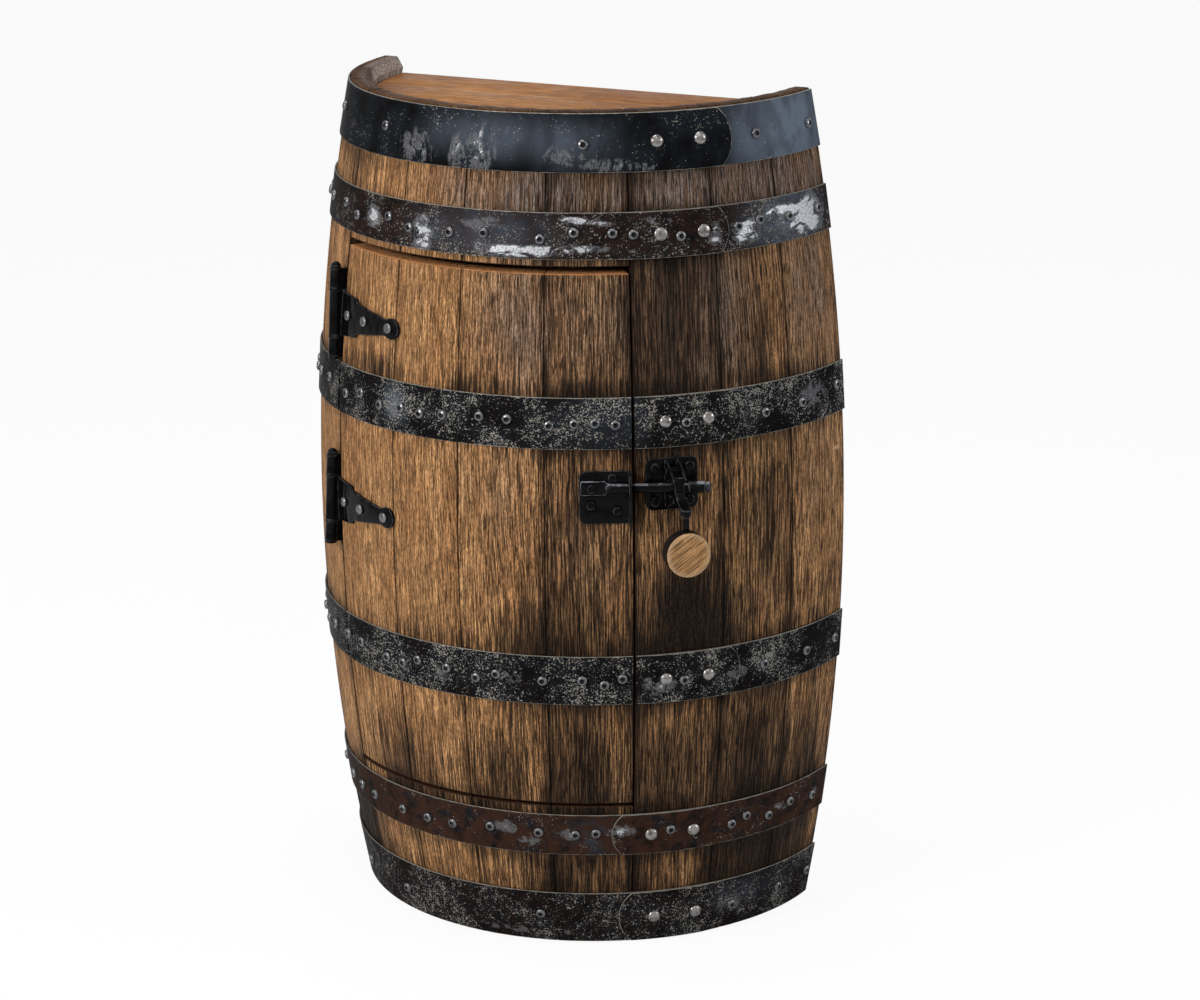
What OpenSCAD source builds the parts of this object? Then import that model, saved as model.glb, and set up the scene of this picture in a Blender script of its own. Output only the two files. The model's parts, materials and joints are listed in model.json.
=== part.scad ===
// Half of an oak barrel sawn lengthwise, made into a cabinet with a stave door.
// Millimetres. +Z is up, the sawn back is the plane y = 0 and the door faces -Y.
// The origin is on the floor at the middle of the back.
// Angles round the barrel are measured from the front, positive towards the right.

/* [Barrel] */
// Height of the barrel, floor to the top of the chime
barrel_h = 889; // [860:1:940]
// Outside radius of the staves at the widest place
bilge_r = 298; // [285:1:315]
// Outside radius of the staves at both ends
head_r = 254; // [244:1:266]
// Thickness of a stave
stave_t = 25; // [21:1:30]
// Gap between neighbouring staves
stave_joint = 0.3; // [0.2:0.1:0.8]
// Depth of the bevel inside the chime
chime_bevel = 9; // [5:0.5:12]
// Height of the bevel inside the chime
chime_bevel_h = 12; // [8:1:14]
// Depth of the croze groove that holds a barrel head
croze_depth = 5; // [3:0.5:7]
// Width of the croze groove
croze_w = 5; // [4:0.5:7]

/* [Hoops] */
// Thickness of the hoop steel
hoop_t = 2; // [1.2:0.1:2.4]
// Clearance between the middle of a hoop and the staves
hoop_gap = 0.15; // [0.1:0.05:0.4]
// Width of the two head hoops
head_hoop_w = 58; // [50:1:62]
// Width of the two quarter hoops
quarter_hoop_w = 46.5; // [38:0.5:50]
// Width of the two bilge hoops
bilge_hoop_w = 53; // [44:1:56]
// Distance of a head hoop from the end of the staves
head_hoop_inset = 2; // [1:0.5:4]
// Drop from the top of the barrel to the upper quarter hoop's lower edge
upper_quarter_drop = 145.5; // [137:0.5:149]
// Drop from the top of the barrel to the upper bilge hoop's lower edge
upper_bilge_drop = 337; // [337:1:349]
// Lower edge of the lower bilge hoop
lower_bilge_z = 279; // [270:1:300]
// Lower edge of the lower quarter hoop
lower_quarter_z = 106.5; // [95:0.5:110]
// Length over which a hoop laps itself, with its ramp
hoop_lap = 125; // [110:1:130]
// Distance between the two rivets of a lap
rivet_pitch = 45.5; // [40:0.5:48]

/* [Door] */
// Height of the door's lower edge
door_low = 165.5; // [164:0.5:175]
// Drop from the top of the barrel to the door's upper edge
door_drop = 160; // [159:1:174]
// Gap under the short staves over the door
door_top_gap = 7; // [6:0.5:10]
// Gap over the short staves below the door
door_low_gap = 3; // [2:0.5:5]
// Width of the seam at each side of the door
door_seam = 2; // [1.6:0.2:4]

/* [Boards] */
// Drop from the top of the chime to the top board
top_drop = 18; // [16:1:24]
// Thickness of the top board and of the bottom head
head_t = 20; // [16:1:24]
// Width of the top board's rear and middle planks
plank_w = 75; // [60:1:85]
// Height of the bottom head's underside over the floor
bottom_head_z = 28; // [22:1:40]
// Thickness of the back panel
back_t = 12; // [9:1:18]
// Thickness of a shelf
shelf_t = 18; // [15:1:22]
// Height of a shelf cleat
cleat_h = 22; // [16:1:30]
// Depth of a shelf cleat, from the staves inwards
cleat_d = 18; // [12:1:24]
// Clearance round the boards
board_gap = 0.6; // [0.4:0.1:1]

/* [Hinges] */
// Gap between the upper hinge and the hoop below it
hinge_hoop_gap = 1.4; // [1:0.1:6]
// Place of the lower hinge between the bilge hoops, from 0 at the lower one to 1 at the upper one
lower_hinge_place = 0.568; // [0.45:0.01:0.6]
// Radius of the hinge knuckles
knuckle_r = 6.1; // [5.5:0.1:6.5]
// Length of the middle knuckle
mid_knuckle_l = 50; // [40:1:54]
// Length of each outer knuckle
end_knuckle_l = 22.5; // [16:0.5:22.5]
// Radius of the hinge pin
pin_r = 2.5; // [2:0.1:3]
// Running clearance round a pin
pin_gap = 0.06; // [0.03:0.01:0.09]
// Distance of the hinge pin's axis from the staves
hinge_off = 8.6; // [8.6:0.1:10]
// Length of the strap from the pin's axis
strap_l = 111; // [95:1:120]
// Thickness of the strap
strap_t = 3; // [2.5:0.1:3.5]
// Thickness of the fixed leaf
leaf_t = 2; // [1.5:0.1:2.2]
// Depth of the fixed leaf in the seam
leaf_d = 20; // [16:1:21]

/* [Latch] */
// Drop from the upper bilge hoop to the striker plate's middle
striker_drop = 49.5; // [44:0.5:60]
// Width of the striker plate
striker_w = 52.5; // [48:0.5:55]
// Height of the striker plate
striker_h = 55; // [50:1:60]
// Thickness of the striker plate and the latch base
plate_t = 2.5; // [2:0.1:3]
// How far the striker plate's folded edge stands out
striker_fold = 22; // [18:1:26]
// Radius of the striker bar
bar_r = 4.75; // [4.2:0.05:5]
// Height of the bar over the striker plate's middle
bar_rise = 10.5; // [8:0.5:12]
// Length of the bar right of the striker plate's middle
bar_reach = 107; // [102:1:110]
// Width of the latch base
base_w = 55; // [50:1:60]
// Height of the latch base
base_h = 54; // [50:1:60]
// Gap between the cheeks of the latch base
cheek_gap = 10.5; // [8.5:0.5:11]
// Thickness of a cheek
cheek_t = 2; // [1.6:0.1:2.5]
// How far the cheeks stand out
cheek_out = 32; // [30:0.5:36]
// Height of the slot in the cheeks that takes the bar
slot_h = 15; // [14.5:0.5:16]
// Radius of the lever's pivot pin
pivot_r = 2; // [1.5:0.1:2.4]
// Thickness of the lever strip
lever_t = 3; // [2.5:0.1:3.4]
// Clearance at each side of the lever
lever_gap = 0.3; // [0.2:0.05:0.5]
// Radius of the wooden knob
knob_r = 22.75; // [18:0.25:26]
// Thickness of the wooden knob
knob_t = 19; // [14:1:24]

/* [Fasteners] */
// Head radius of a hoop screw
screw_head_r = 5.2; // [4.4:0.1:5.4]
// Head height of a hoop screw
screw_head_h = 3.6; // [2.6:0.1:4]
// Shank radius of a screw
screw_r = 2; // [1.5:0.1:2.5]
// Length of a hoop screw in the wood
screw_l = 14; // [8:1:18]
// Clearance round every fastener
hole_gap = 0.15; // [0.1:0.05:0.3]
// Head radius of a hoop rivet
rivet_head_r = 6.9; // [6:0.1:7.2]
// Shank radius of a hoop rivet
rivet_r = 3; // [2.5:0.1:3.5]

/* [Hidden] */

$fn = 64;
// Steps of a full turn for the wide revolved shapes, and of the long bow of the staves
turn_fn = 180;
bow_fn = 720;
// A small overshoot for cuts
over = 1;

// Colours
honey_oak = [0.62, 0.42, 0.24];
dark_oak = [0.42, 0.31, 0.23];
board_oak = [0.68, 0.45, 0.26];
plywood = [0.72, 0.58, 0.42];
hoop_black = [0.12, 0.13, 0.14];
hoop_rust = [0.32, 0.22, 0.16];
iron_black = [0.05, 0.05, 0.06];
zinc = [0.7, 0.7, 0.72];

// The bow of the staves: an arc through both ends and the bilge
bow_rise = bilge_r - head_r;
bow_r = (barrel_h * barrel_h / 4 + bow_rise * bow_rise) / (2 * bow_rise);
// Outside radius of the staves at a height
function stave_r(z) = bilge_r - bow_r + sqrt(bow_r * bow_r - pow(z - barrel_h / 2, 2));
// Lean of the stave surface towards the back at a height, in degrees
function lean(z) = asin((z - barrel_h / 2) / bow_r);
// Angle that an arc length takes up on the surface at a height
function turn_of(arc, z) = arc / stave_r(z) * 180 / PI;

// Widths of the staves in degrees, from the left rear edge to the right rear edge
stave_turns = [17.5, 19, 17, 19.8, 16.4, 18.2, 17.6, 18.7, 17, 18.8];
function total(list, count) = count == 0 ? 0 : list[count - 1] + total(list, count - 1);
function edge(i) = -90 + total(stave_turns, i);
// The door takes this many staves, and starts after so many
door_first = 3;
door_count = 4;
door_last = door_first + door_count;
left_seam = edge(door_first);
right_seam = edge(door_last);
door_high = barrel_h - door_drop;
upper_stave_z = door_high + door_top_gap;
lower_stave_z = door_low - door_low_gap;

upper_quarter_z = barrel_h - upper_quarter_drop;
upper_bilge_z = barrel_h - upper_bilge_drop;
// Hoops from the top down: lower edge and width
HOOPS = [
    [barrel_h - head_hoop_inset - head_hoop_w, head_hoop_w],
    [upper_quarter_z, quarter_hoop_w],
    [upper_bilge_z, bilge_hoop_w],
    [lower_bilge_z, bilge_hoop_w],
    [lower_quarter_z, quarter_hoop_w],
    [head_hoop_inset, head_hoop_w]
];
function hoop_mid(h) = HOOPS[h][0] + HOOPS[h][1] / 2;
// Lean of a hoop's straight face, and its outer radius halfway up
function hoop_lean(h) = atan((stave_r(HOOPS[h][0]) - stave_r(HOOPS[h][0] + HOOPS[h][1])) / HOOPS[h][1]);
function hoop_mid_r(h) = stave_r(hoop_mid(h)) + hoop_gap + hoop_t;
// The staves bow out between a hoop's two edges by this much
function bow_out(h) = stave_r(hoop_mid(h)) - (stave_r(HOOPS[h][0]) + stave_r(HOOPS[h][0] + HOOPS[h][1])) / 2;

// Each hoop ends in a tip that lies over its other end: the upper hoops' tips point right, the two lowest point left
lap_turns = [60.1, 57.4, 57.9, 57.9, 30.8, 32.4];
// Distance of each hoop's first rivet from the tip of its lap
rivet_tips = [36, 28, 37, 37, 41, 37];
function lap_way(h) = h >= 4 ? -1 : 1;
function lap_root(h) = lap_turns[h] - lap_way(h) * turn_of(hoop_lap, hoop_mid(h));
function rivet_angle(h, n) = lap_turns[h] - lap_way(h) * turn_of(rivet_tips[h] + n * rivet_pitch, hoop_mid(h));
rivet_dome_h = 4.5;
// How far the lap stands over the hoop's face at an angle: it climbs along a tangent from its root
lap_bite = 0.1;
function lap_run(h, turn) = (turn - lap_root(h)) * lap_way(h);
function lap_rise(h, turn) =
    (lap_turns[h] - turn) * lap_way(h) < -1 || lap_run(h, turn) < 0 ? 0
    : min(hoop_t, max(0, (hoop_mid_r(h) - lap_bite) / cos(min(lap_run(h, turn), 20)) - hoop_mid_r(h)));

// Angles of the screws that hold each hoop, driven by eye where the staves needed them
SCREW_TURNS = [
    [-80, -52, -25, 26, 67, 85.5],
    [-84, -76, -67, -58, -50, -39, -32.5, -20.5, -14, -3.3, 4.8, 17, 24, 32, 36.3, 46.3, 59.8, 65.5, 74, 84.4],
    [-84, -75, -64, -56, -49.5, -42, -32.7, -26.6, -20.2, -14, -9, -3.5, 4.8, 10.6, 19, 24, 28, 32, 46, 64, 74, 86.3],
    [-84, -75, -64, -56, -49.5, -43, -35, -29, -20, -15.2, -11, -3.7, 3, 7.4, 17, 25, 29.4, 33, 45.5, 64, 76, 86.5],
    [-84, -75, -66, -58, -45, -38.6, -31.6, -20.4, -12.5, -5.5, 4, 15, 23, 27.4, 43.5, 58.2, 62, 68.4, 75, 83.5],
    [-80, -44.4, -24, 14.4, 60.4, 75, 87]
];
// They scatter a little over and under the middle of the hoop
screw_scatter = 4;
function screw_z(h, turn) = hoop_mid(h) + screw_scatter * sin(turn * 137.5 + h * 60);
// The door carries the screws of the bilge hoops between its seams
function on_door(h, turn) = (h == 2 || h == 3) && turn > left_seam && turn < right_seam;
// Height of the face under a screw's head, at the side where the lap is thicker
function screw_seat(h, turn) =
    hoop_gap + hoop_t + lap_rise(h, turn + lap_way(h) * turn_of(screw_head_r, hoop_mid(h)));
hoop_cut = door_seam + 1.6;

// Frame on the stave surface: x to the right, y up along the stave, z out of the barrel
module on_stave(turn, z) {
    rotate([0, 0, turn])
    translate([0, -stave_r(z), z])
    rotate([90 - lean(z), 0, 0])
    children();
}

// The barrel's outside as a filled half profile, moved outwards by off
module bow_disc(off) {
    translate([bilge_r - bow_r, barrel_h / 2])
    circle(r = bow_r + off, $fn = bow_fn);
}

// Turns a profile about the barrel's axis from one angle to another
module turned(start, finish) {
    rotate([0, 0, start - 90])
    rotate_extrude(angle = finish - start, $fn = turn_fn)
    children();
}

// A shell that follows the staves between two distances from their surface
module stave_shell(start, finish, low, high, inner, outer) {
    turned(start, finish)
    intersection() {
        difference() {
            bow_disc(outer);
            bow_disc(inner);
        }
        translate([head_r / 2, low])
        square([bilge_r, high - low]);
    }
}

// Cross section of a stave, with the bevel and the croze groove at each end of the barrel
module stave_profile(low, high) {
    difference() {
        intersection() {
            difference() {
                bow_disc(0);
                bow_disc(-stave_t);
            }
            translate([head_r / 2, low])
            square([bilge_r, high - low]);
        }
        chime_cut();
        translate([0, barrel_h])
        mirror([0, 1])
        chime_cut();
    }
}

// Edges of the croze groove, measured from the end of the staves
top_croze = top_drop + (head_t - croze_w) / 2;
bottom_croze = bottom_head_z + (head_t - croze_w) / 2;
inner_end_r = stave_r(0) - stave_t;

module chime_cut() {
    polygon([
        [inner_end_r - stave_t, -over],
        [inner_end_r + chime_bevel, -over],
        [inner_end_r + chime_bevel, 0],
        [stave_r(chime_bevel_h) - stave_t, chime_bevel_h],
        [inner_end_r - stave_t, chime_bevel_h]
    ]);
}

module croze_cuts() {
    croze_ring(bottom_croze);
    croze_ring(barrel_h - top_croze - croze_w);
}

module croze_ring(z) {
    groove_r = stave_r(z) - stave_t + croze_depth;
    translate([0, 0, z])
    cylinder(r = groove_r, h = croze_w, $fn = turn_fn);
}

// One stave between two joints and two heights
module stave(i, low, high) {
    half_joint = turn_of(stave_joint / 2, barrel_h / 2);
    half_seam = turn_of(door_seam / 2, barrel_h / 2);
    is_door = low == door_low;
    is_side = i < door_first || i >= door_last;
    from_seam = (i == door_first && is_door) || (i == door_last && is_side);
    to_seam = (i == door_last - 1 && is_door) || (i == door_first - 1 && is_side);
    start = edge(i) + (i == 0 ? 0 : from_seam ? half_seam : half_joint);
    finish = edge(i + 1) - (i == 9 ? 0 : to_seam ? half_seam : half_joint);
    difference() {
        turned(start, finish)
        stave_profile(low, high);
        croze_cuts();
        pilot_holes(i, low, high);
        if (i == door_last - 1 && is_door || i == door_last - 2 && is_door) striker_holes();
        if (is_door && i < door_first + 2) strap_holes();
        if (i == door_last) latch_holes();
        if (i == door_first - 1) leaf_pockets();
    }
}

// Holes for the hoop screws that go into one stave
module pilot_holes(i, low, high) {
    for (h = [0:5])
        if (hoop_mid(h) > low && hoop_mid(h) < high)
            for (turn = SCREW_TURNS[h])
                if (turn > edge(i) - 1 && turn < edge(i + 1) + 1)
                    on_stave(turn, screw_z(h, turn))
                    translate([0, 0, -screw_l - over])
                    cylinder(r = screw_r + hole_gap, h = screw_l + 2 * over);
}

stave_top = barrel_h;
middle_oak = [0.55, 0.38, 0.23];
module left_stave_rear() { color(honey_oak) stave(0, 0, stave_top); }
module left_stave_middle() { color(honey_oak) stave(1, 0, stave_top); }
module left_stave_hinge() { color(honey_oak) stave(2, 0, stave_top); }
module right_stave_latch() { color(dark_oak) stave(7, 0, stave_top); }
module right_stave_middle() { color(dark_oak) stave(8, 0, stave_top); }
module right_stave_rear() { color(dark_oak) stave(9, 0, stave_top); }
module upper_stave(n) { color(middle_oak) stave(door_first + n, upper_stave_z, stave_top); }
module lower_stave(n) { color(middle_oak) stave(door_first + n, 0, lower_stave_z); }
module door_stave(n) { color(middle_oak) stave(door_first + n, door_low, door_high); }

// A conical steel strip round the barrel, straight between its two edges as real hoops are
module strip_profile(h, inner, thickness) {
    low = HOOPS[h][0];
    high = low + HOOPS[h][1];
    low_r = stave_r(low) + bow_out(h) + inner;
    high_r = stave_r(high) + bow_out(h) + inner;
    polygon([[low_r, low], [low_r + thickness, low], [high_r + thickness, high], [high_r, high]]);
}

module hoop(h, start, finish) {
    difference() {
        union() {
            turned(start, finish)
            strip_profile(h, hoop_gap, hoop_t);
            if (finish > lap_turns[h]) hoop_lap_end(h, start);
        }
        for (turn = SCREW_TURNS[h])
            if (turn > start && turn < finish)
                on_stave(turn, screw_z(h, turn))
                translate([0, 0, -over])
                cylinder(r = screw_r + hole_gap, h = 4 * hoop_t);
        if (finish > lap_turns[h])
            for (n = [0, 1])
                on_stave(rivet_angle(h, n), hoop_mid(h))
                translate([0, 0, -over])
                cylinder(r = rivet_r + hole_gap, h = 4 * hoop_t);
    }
}

// The end of the strip that lies over its other end: a rounded tip, and a ramp that leaves the hoop's face on a tangent
module hoop_lap_end(h, start) {
    width = HOOPS[h][1];
    tip_r = 0.65 * width;
    way = lap_way(h);
    sunk = 2 * lap_bite;
    mid_turn = lap_turns[h] - way * turn_of(hoop_lap / 2, hoop_mid(h));
    low_end = max(start, min(lap_root(h), lap_turns[h]));
    high_end = max(lap_root(h), lap_turns[h]);
    difference() {
        intersection() {
            turned(low_end, high_end)
            strip_profile(h, hoop_gap + hoop_t - sunk, hoop_t + sunk);
            on_stave(mid_turn, hoop_mid(h))
            translate([0, 0, -hoop_lap / 4])
            linear_extrude(hoop_lap / 2)
            union() {
                translate([way * (hoop_lap / 2 - tip_r), 0])
                circle(r = tip_r);
                translate([-way * tip_r, 0])
                square([hoop_lap, 2 * width], center = true);
            }
        }
        rotate([0, 0, lap_root(h)])
        translate([0, -hoop_mid_r(h), hoop_mid(h)])
        rotate([90 - hoop_lean(h), 0, 0])
        translate([-hoop_lap, -hoop_lap, -lap_bite])
        cube([2 * hoop_lap, 2 * hoop_lap, hoop_lap / 2]);
    }
}

module fixed_hoop(h, tint) { color(tint) hoop(h, -90, 90); }
module hoop_left(h) { color(hoop_black) hoop(h, -90, left_seam - turn_of(hoop_cut / 2, hoop_mid(h))); }
module hoop_right(h) { color(hoop_black) hoop(h, right_seam + turn_of(hoop_cut / 2, hoop_mid(h)), 90); }
module hoop_door(h) {
    color(hoop_black)
    hoop(h, left_seam + turn_of(hoop_cut / 2, hoop_mid(h)), right_seam - turn_of(hoop_cut / 2, hoop_mid(h)));
}

// Inner radius of the barrel at a height, less a clearance
function room_r(z, clearance) = stave_r(z) - stave_t - clearance;

// Radius of a board that fits between two heights
function fit_r(low, high, clearance) = min(room_r(low, clearance), room_r(high, clearance));

// A half round board between two depths
module half_board(z, thickness, front, rear, board_r) {
    intersection() {
        translate([0, 0, z])
        cylinder(r = board_r, h = thickness, $fn = turn_fn);
        translate([-bilge_r, -front, z - over])
        cube([2 * bilge_r, front - rear, thickness + 2 * over]);
    }
}

// A barrel head or plank whose rim has a tongue that stands in the croze groove.
// Its rim clears the staves up to the given height, so nothing hangs over it there.
module head_board(z, front, rear, clear_z) {
    tongue_gap = 0.3;
    tongue_z = z + (head_t - croze_w) / 2 + tongue_gap;
    tongue_r = stave_r(tongue_z) - stave_t + croze_depth - board_gap;
    half_board(z, head_t, front, rear, fit_r(z, clear_z, board_gap));
    intersection() {
        translate([0, 0, tongue_z])
        cylinder(r = tongue_r, h = croze_w - 2 * tongue_gap, $fn = turn_fn);
        translate([-bilge_r, -front, z])
        cube([2 * bilge_r, front - rear, head_t]);
    }
}

top_z = barrel_h - top_drop - head_t;
plank_joint = 0.3;
module top_plank(front, rear) { color(board_oak) head_board(top_z, front, rear, barrel_h - chime_bevel_h); }
module top_plank_rear() { top_plank(plank_w, 0); }
module top_plank_middle() { top_plank(2 * plank_w, plank_w + plank_joint); }
module top_plank_front() { top_plank(bilge_r, 2 * plank_w + plank_joint); }
module bottom_head() {
    color(board_oak)
    head_board(bottom_head_z, bilge_r, back_t + plank_joint, bottom_head_z + head_t);
}

// The back panel fills the sawn side between the staves, from the floor to the underside of the top board
module back_panel() {
    color(plywood)
    intersection() {
        rotate_extrude($fn = turn_fn)
        intersection() {
            bow_disc(-stave_t - board_gap);
            square([bilge_r, top_z - plank_joint]);
        }
        translate([-bilge_r, -back_t, 0])
        cube([2 * bilge_r, back_t, barrel_h]);
    }
}

// Shelves share the room between the bottom head and the top board evenly
room_low = bottom_head_z + head_t;
bay = (top_z - room_low - 2 * shelf_t) / 3;
lower_shelf_z = room_low + bay;
upper_shelf_z = lower_shelf_z + shelf_t + bay;
shelf_gap = 2;
module shelf(z) {
    color(plywood)
    half_board(z, shelf_t, bilge_r, back_t + plank_joint, fit_r(z, z + shelf_t, shelf_gap));
}
module upper_shelf() { shelf(upper_shelf_z); }
module lower_shelf() { shelf(lower_shelf_z); }

// A curved cleat on the side staves under a shelf
cleat_turns = [46, 85];
module cleat(z, side) {
    low = z - cleat_h;
    outer = fit_r(low, z, plank_joint);
    color(board_oak)
    turned(side > 0 ? cleat_turns[0] : -cleat_turns[1], side > 0 ? cleat_turns[1] : -cleat_turns[0])
    translate([outer - cleat_d, low])
    square([cleat_d, cleat_h]);
}
module upper_cleat_left() { cleat(upper_shelf_z, -1); }
module upper_cleat_right() { cleat(upper_shelf_z, 1); }
module lower_cleat_left() { cleat(lower_shelf_z, -1); }
module lower_cleat_right() { cleat(lower_shelf_z, 1); }

knuckle_gap = 0.3;
barrel_half = mid_knuckle_l / 2 + end_knuckle_l;
top_dome_h = 6.5;
low_dome_h = 3;
dome_seat = knuckle_gap / 3;
// The upper hinge stands just over the upper bilge hoop, and the lower one between the bilge hoops
upper_hinge_z = upper_bilge_z + bilge_hoop_w + hinge_hoop_gap + low_dome_h + dome_seat + barrel_half;
bilge_room_z = lower_bilge_z + bilge_hoop_w;
lower_hinge_z = bilge_room_z + lower_hinge_place * (upper_bilge_z - bilge_room_z);
// Both hinges turn on one straight axis that leans with the staves
hinge_turn = left_seam - 1;
hinge_lean = atan((stave_r(lower_hinge_z) - stave_r(upper_hinge_z)) / (upper_hinge_z - lower_hinge_z));
bead_h = 1.6;
bead_r = knuckle_r + 0.4;

// Frame of a hinge: z along the pin, x to the right, -y out of the barrel
module on_hinge(z) {
    rotate([0, 0, hinge_turn])
    translate([0, -stave_r(z) - hinge_off, z])
    rotate([-hinge_lean, 0, 0])
    children();
}

// A knuckle with a raised bead at each end
module knuckle(low, high) {
    rotate_extrude()
    polygon([
        [0, low], [bead_r, low], [bead_r, low + bead_h], [knuckle_r, low + bead_h],
        [knuckle_r, high - bead_h], [bead_r, high - bead_h], [bead_r, high], [0, high]
    ]);
}

module pin_bore() {
    translate([0, 0, -barrel_half - over])
    cylinder(r = pin_r + pin_gap, h = 2 * (barrel_half + over));
}

// Outline of the strap: shoulder, step, taper and a round end, symmetrical about its middle
shoulder_l = 37;
shoulder_root = mid_knuckle_l / 2 - 1;
shoulder_tip = 20.5;
taper_root = 16.5;
taper_tip = 8.8;
bulb_r = 11;
module strap_outline() {
    bulb_x = strap_l - bulb_r;
    polygon([
        [0, -shoulder_root], [shoulder_l, -shoulder_tip], [shoulder_l + 2, -taper_root], [bulb_x - bulb_r, -taper_tip],
        [bulb_x, -taper_tip], [bulb_x, taper_tip],
        [bulb_x - bulb_r, taper_tip], [shoulder_l + 2, taper_root], [shoulder_l, shoulder_tip], [0, shoulder_root]
    ]);
    translate([bulb_x, 0])
    circle(r = bulb_r);
}

// Frame that looks straight at the strap's middle, so that its outline wraps round the barrel
strap_seat = 0.3;
strap_screw_x = [22, 56, 97];
function strap_mid(z) = hinge_turn + turn_of(strap_l / 2, z);
function strap_screw_turn(x, z) = hinge_turn + turn_of(x, z);

module hinge_strap(z) {
    half = mid_knuckle_l / 2 - knuckle_gap / 2;
    reach = turn_of(strap_l, z) + 3;
    color(iron_black)
    difference() {
        union() {
            intersection() {
                stave_shell(hinge_turn, hinge_turn + reach, z - barrel_half, z + barrel_half, strap_seat, strap_seat + strap_t);
                on_stave(strap_mid(z), z)
                translate([-strap_l / 2, 0, -strap_l / 3])
                linear_extrude(2 * strap_l / 3)
                strap_outline();
            }
            intersection() {
                stave_shell(hinge_turn, hinge_turn + 3, z - barrel_half, z + barrel_half, strap_seat, hinge_off);
                on_hinge(z)
                translate([0, -2 * knuckle_r, -half])
                cube([knuckle_r - 0.2, 2 * knuckle_r + 2 * hinge_off, 2 * half]);
            }
            on_hinge(z)
            knuckle(-half, half);
        }
        on_hinge(z)
        pin_bore();
        for (x = strap_screw_x)
            on_stave(strap_screw_turn(x, z), z)
            cylinder(r = screw_r + hole_gap, h = 4 * strap_t);
    }
}
module upper_hinge_strap() { hinge_strap(upper_hinge_z); }
module lower_hinge_strap() { hinge_strap(lower_hinge_z); }

// The fixed leaf stands in the seam, let into the edge of the left stave
leaf_x = 1.5;
leaf_top = 10.4;
module hinge_leaf(z) {
    inner = hinge_off + leaf_d;
    mid = mid_knuckle_l / 2 + knuckle_gap / 2;
    color(iron_black)
    difference() {
        on_hinge(z)
        union() {
            for (side = [0, 1])
                mirror([0, 0, side]) {
                    knuckle(mid, barrel_half);
                    translate([leaf_x, 0, mid])
                    cube([leaf_t, inner, end_knuckle_l - knuckle_gap / 2]);
                }
            translate([leaf_x, leaf_top, -mid])
            cube([leaf_t, inner - leaf_top, 2 * mid]);
        }
        on_hinge(z)
        pin_bore();
        leaf_screw_places(z)
        leaf_screw_shape(hole_gap);
    }
}
module upper_hinge_leaf() { hinge_leaf(upper_hinge_z); }
module lower_hinge_leaf() { hinge_leaf(lower_hinge_z); }

// Screws through the leaf into the edge of the stave: three places, pointing out of the wood
leaf_screw_z = [-34, 0, 34];
leaf_screw_l = 16;
leaf_head_r = 3.4;
module leaf_screw_places(z) {
    for (along = leaf_screw_z)
        on_hinge(z)
        translate([leaf_x + leaf_t, hinge_off + leaf_d / 2 + 2, along])
        rotate([0, 90, 0])
        children();
}
// A countersunk screw whose head ends flush, grown by a clearance
module leaf_screw_shape(grow) {
    rotate_extrude()
    polygon([
        [0, -leaf_screw_l - grow], [screw_r - 0.4 + grow, -leaf_screw_l - grow],
        [screw_r - 0.4 + grow, -leaf_t + 0.2], [leaf_head_r + grow, 0],
        [leaf_head_r + grow, grow * 4], [0, grow * 4]
    ]);
}
module leaf_pockets() {
    pocket_gap = 0.3;
    for (z = [upper_hinge_z, lower_hinge_z]) {
        on_hinge(z)
        translate([leaf_x - pocket_gap, -over, -barrel_half - pocket_gap])
        cube([leaf_d, hinge_off + leaf_d + pocket_gap + over, 2 * (barrel_half + pocket_gap)]);
        leaf_screw_places(z)
        leaf_screw_shape(hole_gap);
    }
}
module leaf_screws() {
    color(zinc)
    for (z = [upper_hinge_z, lower_hinge_z])
        leaf_screw_places(z)
        leaf_screw_shape(0);
}

// A pin with a tall domed head on top and a low one below
module hinge_pin(z) {
    color(iron_black)
    on_hinge(z)
    union() {
        translate([0, 0, -barrel_half - low_dome_h / 2])
        cylinder(r = pin_r, h = 2 * barrel_half + low_dome_h);
        translate([0, 0, barrel_half + dome_seat])
        pin_dome(top_dome_h, knuckle_r - 0.8);
        mirror([0, 0, 1])
        translate([0, 0, barrel_half + dome_seat])
        pin_dome(low_dome_h, knuckle_r);
    }
}

module pin_dome(height, radius) {
    skirt = height / 3;
    crown = height - skirt;
    ball_r = (radius * radius + crown * crown) / (2 * crown);
    cylinder(r = radius, h = skirt);
    translate([0, 0, skirt - 0.01])
    intersection() {
        translate([0, 0, crown - ball_r])
        sphere(r = ball_r);
        cylinder(r = radius - 0.02, h = crown);
    }
}
module upper_hinge_pin() { hinge_pin(upper_hinge_z); }
module lower_hinge_pin() { hinge_pin(lower_hinge_z); }

module strap_holes() {
    for (z = [upper_hinge_z, lower_hinge_z])
        for (x = strap_screw_x)
            on_stave(strap_screw_turn(x, z), z)
            translate([0, 0, -screw_l - over])
            cylinder(r = screw_r + hole_gap, h = screw_l + 2 * over);
}

// A pan head screw that stands on a face at the given height, shank inwards
module pan_screw(face, head_r, head_h) {
    crown = 0.35 * head_h;
    rotate_extrude()
    polygon([
        [0, -screw_l], [screw_r, -screw_l], [screw_r, face + 0.1], [head_r, face + 0.1],
        [head_r, face + head_h - crown], [0.8 * head_r, face + head_h], [0, face + head_h]
    ]);
}

// Strap screws have flatter heads, and striker screws narrower ones, by these much
strap_head_less = 0.6;
striker_head_less = 0.4;
module strap_screws() {
    color(zinc)
    for (z = [upper_hinge_z, lower_hinge_z])
        for (x = strap_screw_x)
            on_stave(strap_screw_turn(x, z), z)
            pan_screw(strap_seat + strap_t, screw_head_r, screw_head_h - strap_head_less);
}

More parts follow.
